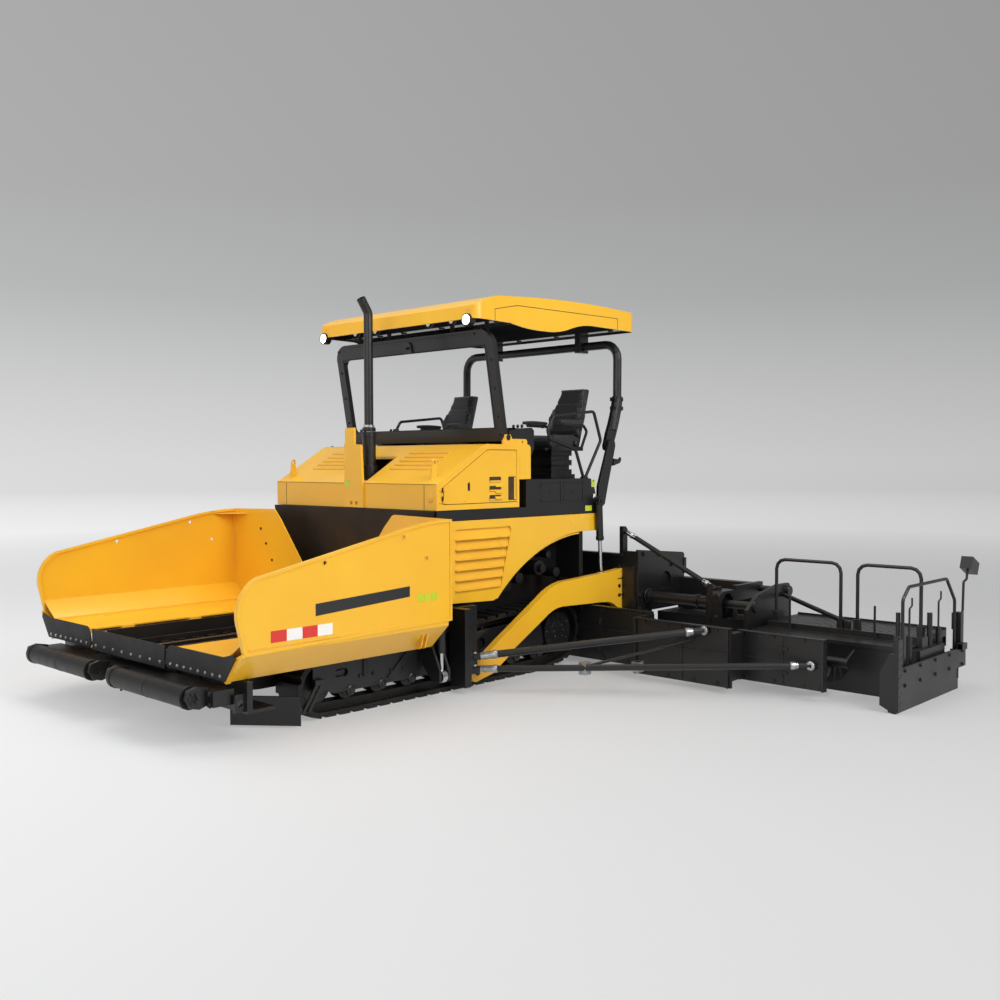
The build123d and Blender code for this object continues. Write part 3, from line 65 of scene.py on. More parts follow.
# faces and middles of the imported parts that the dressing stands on, in millimetres, on the left side
WING_SIDE = 1722                # X of a hopper wing's outer face
FLAP_BACK = -3110               # Y of the wings' front edge, which the rubber flaps hang on
ROLLER = (-3315, 405)           # Y, Z of the push rollers' axis
HOOD_SIDE = 1270                # X of the hood's, doors' and platform's outer faces
HOOD_FRONT = -701               # Y of the hood's front face
TRACK_SIDE = 1245               # X of the track frames' cheek
SPROCKET = (1058, 380)          # Y, Z of the track drive's axis
ROLLER_FIRST, ROLLER_PITCH = -1705, 355     # Y of the first lower track roller and the step to the next
FRONT_FOOT = (290, 2410)        # Y, Z of the pins of the folding front frame
FRONT_HEAD = (112, 3440)        # Y, Z of its upper pins
SEAT = 870                      # X of a seat's middle
TOW_ARM_SIDE = 1440             # X of a tow arm's outer face
GATE_SIDE = 4752                # X of an end gate's outer face
MIDDLE_BODIES = ("machine", "screed_unit", "canopy_hoop", "canopy_roof", "canopy_front")
# front clevis, far clevis and half width of the two struts that hold the auger channel's plates
STRUTS = ((Vector((1482, -430, 337)), Vector((3050, 1125, 575)), 34),
          (Vector((1482, -430, 222)), Vector((4004, 1380, 327)), 30))


# ---------------------------------------------------------------- node and material helpers
def linear(hex_text):
    """sRGB hex to the linear colour that shaders take."""
    values = [int(hex_text[i:i + 2], 16) / 255 for i in (1, 3, 5)]
    return tuple(v / 12.92 if v <= 0.04045 else ((v + 0.055) / 1.055) ** 2.4 for v in values) + (1.0,)


def add(tree, kind, inputs=None, **settings):
    """Adds a node. An input takes a value, a hex colour, a socket, or a node for its first output in use."""
    made = tree.nodes.new(kind)
    for key, value in settings.items():
        setattr(made, key, value)
    for key, value in (inputs or {}).items():
        if isinstance(value, bpy.types.Node):
            value = next(socket for socket in value.outputs if socket.enabled)
        if isinstance(value, bpy.types.NodeSocket):
            tree.links.new(value, made.inputs[key])
        else:
            is_colour = isinstance(value, str) and value.startswith("#")
            made.inputs[key].default_value = linear(value) if is_colour else value
    return made


def new_material(name):
    """Empty node material, its tree and its Object coordinates."""
    material = bpy.data.materials.new(name)
    material.use_nodes = True
    tree = material.node_tree
    tree.nodes.clear()
    return material, tree, add(tree, "ShaderNodeTexCoord").outputs["Object"]


def surfaced(material, inputs):
    """The material with one principled shader as its surface."""
    shader = add(material.node_tree, "ShaderNodeBsdfPrincipled", inputs)
    add(material.node_tree, "ShaderNodeOutputMaterial", {"Surface": shader})
    return material


def metres(millimetres):
    """Texture scale that gives features of about that size on Object coordinates."""
    return 1.0 / (millimetres * MM)


def coat(name, base, shade, roughness, spread=420, grain=7, bump=0.06, metallic=0.0, clear=0.0, dust=None,
         dust_share=0.35, worn=None, wear_and_highlight_share=0.8, edge=5.0, speckle=0.0, underside=None):
    """Paint or bare metal: slow colour drift, rubbed edges, which on the yellow enamel are a painted highlight,
    fine grain in the surface, and dust that thins out with height."""
    material, tree, spot = new_material(name)
    drift = add(tree, "ShaderNodeTexNoise", {"Vector": spot, "Scale": metres(spread), "Detail": 5.0})
    layers = [(add(tree, "ShaderNodeMapRange", {"Value": drift, "From Min": 0.35, "From Max": 0.7}), shade)]
    if underside:
        # near black inside the roof: painted shade under the roof, and the hangers' own charcoal
        layers.append((underside(tree, spot), "#161617"))
    if speckle:
        grit = add(tree, "ShaderNodeTexNoise", {"Vector": spot, "Scale": metres(14), "Detail": 6.0,
                                                "Roughness": 0.7})
        layers.append((add(tree, "ShaderNodeMapRange", {"Value": grit, "From Min": 0.56, "From Max": 0.74,
                                                        "To Max": speckle}), "#5E5A54"))
    corner = add(tree, "ShaderNodeBevel", {"Radius": edge * MM}, samples=4)
    # worn pales the edges: rubbed paint and metal on the darker finishes, a painted highlight on the yellow
    # enamel
    if worn:
        # a corner is where the rounded normal leaves the flat one
        flat = add(tree, "ShaderNodeNewGeometry").outputs["Normal"]
        turn = add(tree, "ShaderNodeVectorMath", {0: corner, 1: flat}, operation="DOT_PRODUCT")
        rubbed = add(tree, "ShaderNodeMapRange", {"Value": turn, "From Min": 0.985, "From Max": 0.88})
        patches = add(tree, "ShaderNodeTexNoise", {"Vector": spot, "Scale": metres(60), "Detail": 7.0,
                                                   "Roughness": 0.7})
        bare = add(tree, "ShaderNodeMapRange", {"Value": patches, "From Min": 0.46, "From Max": 0.6,
                                                "To Max": wear_and_highlight_share})
        layers.append((add(tree, "ShaderNodeMath", {0: rubbed, 1: bare}, operation="MULTIPLY",
                           use_clamp=True),
                       worn))
    if dust:
        height = add(tree, "ShaderNodeSeparateXYZ", {"Vector": spot}).outputs["Z"]
        low = add(tree, "ShaderNodeMapRange", {"Value": height, "From Min": 0.0, "From Max": 0.9,
                                               "To Min": dust_share, "To Max": 0.0})
        patches = add(tree, "ShaderNodeTexNoise", {"Vector": spot, "Scale": metres(130), "Detail": 8.0,
                                                   "Roughness": 0.65})
        layers.append((add(tree, "ShaderNodeMath", {0: low, 1: patches}, operation="MULTIPLY",
                           use_clamp=True),
                       dust))
    result = base
    for share, colour in layers:
        result = add(tree, "ShaderNodeMix", {"Factor": share, "A": result, "B": colour}, data_type="RGBA")
    fine = add(tree, "ShaderNodeTexNoise", {"Vector": spot, "Scale": metres(grain), "Detail": 3.0})
    rough = add(tree, "ShaderNodeMapRange", {"Value": drift, "From Min": 0.3, "From Max": 0.7,
                                             "To Min": roughness - 0.05, "To Max": roughness + 0.07})
    relief = add(tree, "ShaderNodeBump", {"Height": fine, "Normal": corner, "Strength": bump,
                                          "Distance": 0.002})
    return surfaced(material, {"Base Color": result, "Roughness": rough, "Normal": relief,
                               "Metallic": metallic,
                               "Coat Weight": clear, "Coat Roughness": 0.12})


def sheeting(name, base, cell):
    """Prismatic safety sheeting: small sealed cells under clear film, drawn at twice their size to show."""
    material, tree, spot = new_material(name)
    cells = add(tree, "ShaderNodeTexVoronoi", {"Vector": spot, "Scale": metres(6)},
                feature="DISTANCE_TO_EDGE")
    edge = add(tree, "ShaderNodeMapRange", {"Value": cells, "From Min": 0.02, "From Max": 0.08,
                                            "To Min": 0.35,
                                            "To Max": 0.0})
    colour = add(tree, "ShaderNodeMix", {"Factor": edge, "A": base, "B": cell}, data_type="RGBA")
    return surfaced(material, {"Base Color": colour, "Roughness": 0.28, "Coat Weight": 0.6,
                               "Coat Roughness": 0.06})


def vinyl(name, base, shade):
    """Embossed seat vinyl: close leather grain and a soft sheen."""
    material, tree, spot = new_material(name)
    drift = add(tree, "ShaderNodeTexNoise", {"Vector": spot, "Scale": metres(220), "Detail": 4.0})
    colour = add(tree, "ShaderNodeMix", {"Factor": drift, "A": base, "B": shade}, data_type="RGBA")
    # grain cells of 3 mm, drawn at 7 mm to show
    grain = add(tree, "ShaderNodeTexVoronoi", {"Vector": spot, "Scale": metres(7)}, feature="SMOOTH_F1")
    relief = add(tree, "ShaderNodeBump", {"Height": grain, "Strength": 0.35, "Distance": 0.0015})
    return surfaced(material, {"Base Color": colour, "Roughness": 0.52, "Sheen Weight": 0.2,
                               "Sheen Roughness": 0.5, "Normal": relief})


def lamp_lens(name, tint, strength):
    """Lamp glass lit from behind, with the flutes of its moulded lens."""
    material, tree, spot = new_material(name)
    flutes = add(tree, "ShaderNodeTexWave", {"Vector": spot, "Scale": metres(60)}, bands_direction="X")
    relief = add(tree, "ShaderNodeBump",
                 {"Height": flutes.outputs["Fac"], "Strength": 0.4, "Distance": 0.002})
    return surfaced(material, {"Base Color": "#F4F1E6", "Roughness": 0.08, "Normal": relief,
                               "Emission Color": tint, "Emission Strength": strength})


def screen(name):
    """Switched-off display under hard-coated polycarbonate: near black, glossy, with a faint smear."""
    material, tree, spot = new_material(name)
    smear = add(tree, "ShaderNodeTexNoise", {"Vector": spot, "Scale": metres(45), "Detail": 4.0})
    rough = add(tree, "ShaderNodeMapRange", {"Value": smear, "To Min": 0.05, "To Max": 0.25})
    return surfaced(material, {"Base Color": "#0D1114", "Roughness": rough, "Coat Weight": 0.5})


def roof_shade_and_hangers(tree, spot):
    """1 inside the roof's moulding, whose near black is painted shade under the roof, and on what hangs from
    it, which is charcoal; 0 on the outer skin.
    """
    place = add(tree, "ShaderNodeSeparateXYZ", {"Vector": spot}).outputs
    normal = add(tree, "ShaderNodeNewGeometry").outputs["Normal"]
    normal = add(tree, "ShaderNodeSeparateXYZ", {"Vector": normal}).outputs
    width = add(tree, "ShaderNodeMath", {0: place["X"]}, operation="ABSOLUTE")
    side = add(tree, "ShaderNodeMath", {0: place["X"]}, operation="SIGN")
    outward = add(tree, "ShaderNodeMath", {0: side, 1: normal["X"]}, operation="MULTIPLY")
    # each row is one region of the skin: all its tests hold, each a value, above or below, and a limit
    regions = (
        ((normal["Z"], "GREATER_THAN", 0.3), (place["Z"], "GREATER_THAN", 3.61)),
        ((normal["Y"], "LESS_THAN", -0.2), (place["Y"], "LESS_THAN", 0.12)),
        ((normal["Y"], "GREATER_THAN", 0.2), (place["Y"], "GREATER_THAN", 2.3)),
        ((outward, "GREATER_THAN", 0.2), (width, "GREATER_THAN", 1.15)),
        ((width, "GREATER_THAN", 1.2275),),
        ((place["Y"], "LESS_THAN", -0.128),),
        ((place["Y"], "GREATER_THAN", 2.4415),),
    )
    skin = 0.0
    for tests in regions:
        region = 1.0
        for value, side_of, limit in tests:
            passed = add(tree, "ShaderNodeMath", {0: value, 1: limit}, operation=side_of)
            region = add(tree, "ShaderNodeMath", {0: region, 1: passed}, operation="MULTIPLY")
        skin = add(tree, "ShaderNodeMath", {0: skin, 1: region}, operation="MAXIMUM")
    return add(tree, "ShaderNodeMath", {0: 1.0, 1: skin}, operation="SUBTRACT")


def make_materials():
    """Every finish of the machine, by its own name."""
    look = bpy.context.scene.paver_colours
    return {
        # two-pack polyurethane enamel sprayed on sheet steel: glossy, with a faint orange peel, dust low down,
        # and corners paled as a painted highlight
        "enamel": coat("sprayed_yellow_enamel", look.enamel, look.enamel_shade, 0.32, spread=900, grain=9,
                       bump=0.05, clear=0.35, dust="#C89A4C", dust_share=0.25, worn="#FFD27A",
                       wear_and_highlight_share=0.7),
        # the same enamel outside the roof's moulding, its corners paled as a painted highlight; textured near
        # black inside it, painted shade under the roof and the charcoal of its hangers
        "roof_enamel": coat("roof_enamel_and_painted_shade", look.enamel, look.enamel_shade, 0.32, spread=900,
                            grain=9,
                            bump=0.05, clear=0.3, worn="#FFD27A", wear_and_highlight_share=0.5, underside=roof_shade_and_hangers),
        # textured charcoal enamel on frames and covers: satin, fine leathery grain, corners rubbed paler
        "charcoal": coat("textured_charcoal_enamel", look.charcoal, "#0E0E0F", 0.4, spread=600, grain=5,
                         bump=0.14, clear=0.12, dust="#262320", dust_share=0.25, worn="#454547",
                         wear_and_highlight_share=0.5),
        # hot rolled wear plate of the hopper's back wall: dark brown scale, streaky
        "wear_plate": coat("hot_rolled_wear_plate", "#241A13", "#17110D", 0.46, spread=260, grain=12,
                           bump=0.2,
                           metallic=0.35, worn="#6A625B"),
        # cast and forged track steel: dark, slightly polished where it runs
        "track_steel": coat("forged_track_steel", "#181818", "#222120", 0.42, spread=90, grain=6, bump=0.3,
                            metallic=0.45, dust="#3A3630", dust_share=0.3, worn="#6A6764", wear_and_highlight_share=0.5),
        # zinc plated clevises, clamps and bolts: pale grey, faint spangle
        "zinc": coat("zinc_plated_steel", "#C3C6C8", "#989C9E", 0.3, spread=40, grain=4, bump=0.08,
                     metallic=0.85),
        # hard chromed and ground piston rods: mirror with a breath of haze
        "chrome": coat("ground_chrome", "#D5D7D9", "#C4C7C9", 0.13, spread=150, grain=3, bump=0.02,
                       metallic=1.0),
        # sand-cast iron of engine and gear cases: rough, dark
        "cast_iron": coat("sand_cast_iron", "#1A1A1B", "#121213", 0.62, spread=120, grain=4, bump=0.45,
                          metallic=0.3),
        # moulded rubber of apron and flaps: matt, greyed by dust, with grit pressed in
        "rubber": coat("moulded_rubber", "#131314", "#191919", 0.6, spread=180, grain=5, bump=0.25,
                       dust="#3A3733", dust_share=0.25, speckle=0.06),
        # injection moulded nylon of knobs, seals and latches: black, even, softly shiny
        "nylon": coat("moulded_black_nylon", "#111112", "#19191A", 0.38, spread=90, grain=2, bump=0.1),
        # black-oxided bolt heads: dark, slightly oily
        "bolt_steel": coat("black_oxide_bolt_steel", "#3A3A3C", "#2B2A2A", 0.36, spread=30, grain=2,
                           bump=0.05,
                           metallic=0.7, worn="#77736F", edge=1.5),
        # painted shade of the hood's inside, seen through its openings: brown-black, matt
        "hood_shade": coat("painted_hood_shade", "#4A3310", "#2A1C08", 0.6, spread=60, grain=6, bump=0.1),
        # cast film of the dark side band: flat black, nearly smooth
        "band_film": coat("cast_dark_film", "#1A1A1C", "#1F1F21", 0.35, spread=300, grain=3, bump=0.02,
                          clear=0.3),
        # embossed seat vinyl over foam, and the blown cord sewn into its seams
        "vinyl": vinyl("embossed_seat_vinyl", "#141415", "#1C1C1E"),
        "welt": vinyl("seam_welt_vinyl", "#0E0E0F", "#151516"),
        # reflective sheeting bands, red and white, and blank lime and white plates
        "red_sheeting": sheeting("red_reflective_sheeting", "#DB2A1E", "#A81A12"),
        "white_sheeting": sheeting("white_reflective_sheeting", "#F4F1EA", "#CFCBC2"),
        "lime_sheeting": sheeting("lime_reflective_sheeting", "#C3CF2A", "#A0AC1C"),
        "lamp_glass": lamp_lens("lit_lamp_glass", "#FFE9C2", 14.0),
        "small_glass": lamp_lens("unlit_lamp_glass", "#FFF4DC", 0.25),
        "screen": screen("dark_display"),
    }


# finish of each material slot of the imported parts, the parts that have their own, and the slot of each finish
FINISH = {
    "yellow paint": "enamel", "charcoal paint": "charcoal", "worn steel": "track_steel",
    "chrome rod": "chrome",
    "engine iron": "cast_iron", "seat vinyl": "vinyl",
}
OWN_FINISH = {
    "hopper_rear_wall": "wear_plate", "hopper_apron": "rubber", "canopy_roof": "roof_enamel",
    "push_roller_left": "track_steel", "push_roller_right": "track_steel",
}
MATERIALS = {}


# ---------------------------------------------------------------- mesh helpers, all in millimetres
def blanks(count):
    """Empty meshes to fill."""
    return [bmesh.new() for _ in range(count)]


def skin(bm, loops, closed=False):
    """Faces from each loop of points to the next; the ends are capped, or joined where it is closed."""
    verts = [[bm.verts.new(point) for point in loop] for loop in loops]
    faces = [] if closed else [bm.faces.new(verts[0]), bm.faces.new(verts[-1])]
    for loop, following in zip(verts, verts[1:] + verts[:1] if closed else verts[1:]):
        for k in range(len(loop)):
            n = (k + 1) % len(loop)
            faces.append(bm.faces.new((loop[k], loop[n], following[n], following[k])))
    bmesh.ops.recalc_face_normals(bm, faces=faces)


def circle(centre, way, radius, sides):
    """Points round a centre, square to a way."""
    way = Vector(way).normalized()
    side = way.orthogonal().normalized()
    up = way.cross(side)
    angles = [2 * pi * k / sides for k in range(sides)]
    return [centre + (side * cos(angle) + up * sin(angle)) * radius for angle in angles]


def prism(bm, outline, axis, low, high):
    """Outline of the other two axes, in order, drawn from low to high along an axis."""
    index = "xyz".index(axis)
    skin(bm, [[(*point[:index], level, *point[index:]) for point in outline] for level in (low, high)])


def box(bm, x0, x1, y0, y1, z0, z1):
    """Upright block."""
    prism(bm, [(x0, y0), (x1, y0), (x1, y1), (x0, y1)], "z", z0, z1)


def turned(bm, base, way, profile, sides=24, closed=False):
    """Turned shape: its profile gives distance along the way and radius."""
    base, way = Vector(base), Vector(way).normalized()
    skin(bm, [circle(base + way * along, way, radius, sides) for along, radius in profile], closed)


def rod(bm, a, b, radius, sides=16, chamfer=0.0):
    """Round bar between two points, its ends chamfered."""
    way = Vector(b) - Vector(a)
    profile = [(0, radius), (way.length, radius)]
    if chamfer:
        profile = [(0, radius - chamfer), (chamfer, radius), (way.length - chamfer, radius),
                   (way.length, radius - chamfer)]
    turned(bm, a, way, profile, sides)


def ring(bm, centre, way, outer, inner, thick, sides=32):
    """Flat ring with its outer edges broken, standing on its centre."""
    edge = min(thick, outer - inner) * 0.25
    turned(bm, centre, way, [(0, inner), (0, outer - edge), (edge, outer), (thick - edge, outer),
                             (thick, outer - edge), (thick, inner)], sides, closed=True)


def pipe(bm, path, radius, sides):
    """Round tube along a path, with mitred bends."""
    loops = [circle(path[0], path[1] - path[0], radius, sides)]
    for i in range(1, len(path)):
        way = (path[i] - path[i - 1]).normalized()
        mitre = way + (path[i + 1] - path[i]).normalized() if i + 1 < len(path) else way
        loops.append([p + way * ((path[i] - p).dot(mitre) / way.dot(mitre)) for p in loops[-1]])
    skin(bm, loops)


def rounded(u0, u1, v0, v1, radius, steps=3):
    """Outline of a rectangle with round corners."""
    out = []
    for u, v, start in ((u1 - radius, v1 - radius, 0), (u0 + radius, v1 - radius, 90),
                        (u0 + radius, v0 + radius, 180), (u1 - radius, v0 + radius, 270)):
        for i in range(steps + 1):
            angle = radians(start + 90 * i / steps)
            out.append((u + radius * cos(angle), v + radius * sin(angle)))
    return out


def pitch_circle(x, middle, radius, count):
    """Bolt places on a circle that faces sideways."""
    y, z = middle
    angles = [2 * pi * k / count for k in range(count)]
    return [(x, y + radius * cos(angle), z + radius * sin(angle)) for angle in angles]


def shown(name, data):
    """New object in the scene."""
    made = bpy.data.objects.new(name, data)
    bpy.context.scene.collection.objects.link(made)
    return made


def applied(thing):
    """Plain mesh of an object with its modifiers applied."""
    graph = bpy.context.evaluated_depsgraph_get()
    return bpy.data.meshes.new_from_object(thing.evaluated_get(graph), depsgraph=graph)


def to_mesh(name, bm):
    """Mesh in metres from one in millimetres, which it uses up."""
    for vert in bm.verts:
        vert.co *= MM
    mesh = bpy.data.meshes.new(name)
    bm.to_mesh(mesh)
    bm.free()
    return mesh


def piece(name, bm, finish, body, bevel=0.0):
    """Object from a mesh in millimetres, riding on a body; bevel is the radius of its edges."""
    mesh = to_mesh(name, bm)
    made = shown(name, mesh)
    mesh.materials.append(MATERIALS[finish])
    mesh.polygons.foreach_set("use_smooth", [True] * len(mesh.polygons))
    mesh.set_sharp_from_angle(angle=radians(40))
    if bevel:
        corner = made.modifiers.new("rounded edges", "BEVEL")
        corner.width, corner.segments, corner.limit_method = bevel * MM, 2, "ANGLE"
        corner.angle_limit = radians(40)
        corner.harden_normals = False
    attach(made, body)


def both_sides(name, bm, finish, body, bevel=0.0):
    """The piece and its mirror image: one object on a middle body, or one on each side's own body."""
    other = bm.copy()
    for vert in other.verts:
        vert.co.x = -vert.co.x
    bmesh.ops.reverse_faces(other, faces=other.faces[:])
    if body in MIDDLE_BODIES:
        spare = bpy.data.meshes.new("spare")
        other.to_mesh(spare)
        other.free()
        bm.from_mesh(spare)
        bpy.data.meshes.remove(spare)
        piece(name, bm, finish, body, bevel)
    else:
        piece(name + "_left", bm, finish, body + "_left", bevel)
        piece(name + "_right", other, finish, body + "_right", bevel)


# ---------------------------------------------------------------- repeats by geometry nodes
def new_tree(name, sizes):
    """Node tree with a point cloud, its sizes and its finish as inputs."""
    tree = bpy.data.node_groups.new(name, "GeometryNodeTree")
    face = tree.interface
    face.new_socket("Spots", in_out="INPUT", socket_type="NodeSocketGeometry")
    for key, value in sizes.items():
        face.new_socket(key, in_out="INPUT", socket_type="NodeSocketFloat").default_value = value
    face.new_socket("Finish", in_out="INPUT", socket_type="NodeSocketMaterial")
    face.new_socket("Pieces", in_out="OUTPUT", socket_type="NodeSocketGeometry")
    return tree, add(tree, "NodeGroupInput").outputs


def scattered(tree, entry, shape, axis="Z", pivot="AUTO", turn=0.0):
    """Puts the shape on every spot, turned to the spot's way, makes it real and coats it."""
    way = add(tree, "GeometryNodeInputNamedAttribute", {"Name": "way"}, data_type="FLOAT_VECTOR")
    facing = add(tree, "FunctionNodeAlignRotationToVector", {"Vector": way}, axis=axis, pivot_axis=pivot)
    placed = add(tree, "GeometryNodeInstanceOnPoints", {"Points": entry["Spots"], "Instance": shape,
                                                        "Rotation": facing})
    if turn:
        # each one stops at its own angle, as tightened heads do; input 3 is the largest angle
        angle = add(tree, "FunctionNodeRandomValue", {"Seed": 7, 3: turn}, data_type="FLOAT")
        twist = add(tree, "ShaderNodeCombineXYZ", {"Z": angle})
        placed = add(tree, "GeometryNodeRotateInstances", {"Instances": placed, "Rotation": twist})
    real = add(tree, "GeometryNodeRealizeInstances", {"Geometry": placed})
    coated = add(tree, "GeometryNodeSetMaterial", {"Geometry": real, "Material": entry["Finish"]})
    add(tree, "NodeGroupOutput", {"Pieces": coated})
    return tree


def hex_bolts():
    """Hexagon head on a round washer."""
    tree, entry = new_tree("hex_bolts", {"Across flats": 0.03, "Head height": 0.012})
    width, height = entry["Across flats"], entry["Head height"]
    both = add(tree, "GeometryNodeJoinGeometry")
    # washer, head and crown: sides, radius as a share of the flats, depth and middle as shares of the height
    for sides, *shares in ((16, 0.82, 0.4, 0.1), (6, 0.577, 1.0, 0.7), (12, 0.42, 1.0, 0.82)):
        radius, depth, level = [add(tree, "ShaderNodeMath", {0: size, 1: share}, operation="MULTIPLY")
                                for size, share in zip((width, height, height), shares)]
        disc = add(tree, "GeometryNodeMeshCylinder", {"Vertices": sides, "Radius": radius, "Depth": depth})
        up = add(tree, "ShaderNodeCombineXYZ", {"Z": level})
        raised = add(tree, "GeometryNodeTransform", {"Geometry": disc, "Translation": up})
        tree.links.new(raised.outputs["Geometry"], both.inputs["Geometry"])
    return scattered(tree, entry, both, turn=1.0)


def button_heads():
    """Low round head, as on rivets, plugs and socket screws."""
    tree, entry = new_tree("button_heads", {"Across": 0.02, "Head height": 0.008})
    radius = add(tree, "ShaderNodeMath", {0: entry["Across"], 1: 0.5}, operation="MULTIPLY")
    flat = add(tree, "ShaderNodeMath", {0: entry["Head height"], 1: radius}, operation="DIVIDE")
    ball = add(tree, "GeometryNodeMeshUVSphere", {"Segments": 14, "Rings": 7, "Radius": radius})
    size = add(tree, "ShaderNodeCombineXYZ", {"X": 1.0, "Y": 1.0, "Z": flat})
    head = add(tree, "GeometryNodeTransform", {"Geometry": ball, "Scale": size})
    return scattered(tree, entry, add(tree, "GeometryNodeSetShadeSmooth", {"Geometry": head}))


def tread_bars():
    """Raised lozenge bars of chequer plate."""
    tree, entry = new_tree("tread_bars", {"Length": 0.034, "Height": 0.002})
    radius = add(tree, "ShaderNodeMath", {0: entry["Length"], 1: 0.5}, operation="MULTIPLY")
    bar = add(tree, "GeometryNodeMeshCylinder", {"Vertices": 6, "Radius": radius, "Depth": entry["Height"]})
    thin = add(tree, "GeometryNodeTransform", {"Geometry": bar, "Scale": (1.0, 0.3, 1.0)})
    return scattered(tree, entry, thin, axis="X", pivot="Z")


def repeat(name, tree, spots, finish, body, **sizes):
    """One mesh of the tree's shape on all spots, each a place in millimetres and a way."""
    mesh = bpy.data.meshes.new(name + "_spots")
    mesh.from_pydata([tuple(v * MM for v in place) for place, _ in spots], [], [])
    ways = mesh.attributes.new("way", "FLOAT_VECTOR", "POINT")
    ways.data.foreach_set("vector", [v for _, way in spots for v in way])
    carrier = shown(name + "_carrier", mesh)
    modifier = carrier.modifiers.new("repeat", "NODES")
    modifier.node_group = TREES[tree]
    values = {**sizes, "Finish": MATERIALS[finish]}
    for item in TREES[tree].interface.items_tree:
        if item.in_out == "INPUT" and item.name in values:
            modifier[item.identifier] = values[item.name]
    result = applied(carrier)
    carrier.modifiers.remove(modifier)
    bpy.data.objects.remove(carrier)
    bpy.data.meshes.remove(mesh)
    result.name = name
    made = shown(name, result)
    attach(made, body)


def repeat_both(name, tree, spots, finish, body, **sizes):
    """The repeats and their mirror image, on a middle body or on each side's own body."""
    other = [((-x, y, z), (-u, v, w)) for (x, y, z), (u, v, w) in spots]
    if body in MIDDLE_BODIES:
        repeat(name, tree, spots + other, finish, body, **sizes)
    else:
        repeat(name + "_left", tree, spots, finish, body + "_left", **sizes)
        repeat(name + "_right", tree, other, finish, body + "_right", **sizes)


def bolts(name, spots, body, size, height, finish="bolt_steel", mirrored=True):
    """Hexagon bolts on both sides; size names one of the fasteners and height is in metres."""
    place = repeat_both if mirrored else repeat
    flats = getattr(bpy.context.scene.paver_fasteners, size)
    place(name, "hex_bolts", spots, finish, body, **{"Across flats": flats, "Head height": height})


def buttons(name, spots, body, across, height, finish):
    """Button heads on both sides; sizes are in metres."""
    repeat_both(name, "button_heads", spots, finish, body, **{"Across": across, "Head height": height})


def facing(way, places):
    """Spots that all face one way."""
    return [(place, way) for place in places]


# ---------------------------------------------------------------- sizes and colours that a user would change
def length(name, description, default):
    """Property that holds a length in metres."""
    return bpy.props.FloatProperty(name=name, description=description, default=default, unit="LENGTH")


def colour(name, description, default):
    """Property that holds an sRGB hex colour."""
    return bpy.props.StringProperty(name=name, description=description + ", sRGB hex", default=default)


class PaverColours(bpy.types.PropertyGroup):
    """Main colours of the paver"""
    enamel: colour("Enamel", "Yellow of the body panels", "#F4BB29")
    enamel_shade: colour("Enamel shade", "Where the enamel has faded", "#EEB022")
    charcoal: colour("Charcoal", "Frames, roof liner and covers", "#131314")


class PaverStage(bpy.types.PropertyGroup):
    """Floor and camera"""
    floor_size: length("Floor", "Side of the square floor", 600.0)
    eye: bpy.props.FloatVectorProperty(name="Eye", description="Where the camera stands", size=3,
                                       subtype="XYZ",
                                       default=(8.404, -7.392, 2.162), unit="LENGTH")
    lens: bpy.props.FloatProperty(name="Lens", description="Focal length of the camera", default=37.853,
                                  unit="CAMERA")


class PaverFasteners(bpy.types.PropertyGroup):
    """Sizes of bolts and of the tread plate"""
    m12: length("M12 head", "Across flats of the small bolts", 0.019)
    m16: length("M16 head", "Across flats of the middle bolts", 0.026)
    m20: length("M20 head", "Across flats of the large bolts", 0.034)
    tread_pitch: length("Tread pitch", "Distance between the tread plate's bars", 0.062)


class PaverSeats(bpy.types.PropertyGroup):
    """Foam of the two seats"""
    swell: length("Swell", "How far the foam may crown", 0.016)
    voxel: length("Grain of the mesh", "Mesh size of the foam", 0.009)


# ---------------------------------------------------------------- operators
def sidelong(tree, way):
    """Strength that falls from one side of the studio to the other, by the direction from its middle."""
    unit = add(tree, "ShaderNodeVectorMath", {0: way}, operation="NORMALIZE")
    side = add(tree, "ShaderNodeVectorMath", {0: unit, 1: DIM_SIDE}, operation="DOT_PRODUCT")
    return add(tree, "ShaderNodeMath", {0: side, 1: -0.28, 2: 1.0}, operation="MULTIPLY_ADD")


def seen_plainly(tree):
    """1 for rays from the camera, from reflections and through glass, and 0 for light on the machine."""
    ray = add(tree, "ShaderNodeLightPath").outputs
    either = add(tree, "ShaderNodeMath", {0: ray["Is Camera Ray"], 1: ray["Is Glossy Ray"]},
                 operation="MAXIMUM")
    return add(tree, "ShaderNodeMath", {0: either, 1: ray["Is Transmission Ray"]}, operation="MAXIMUM")


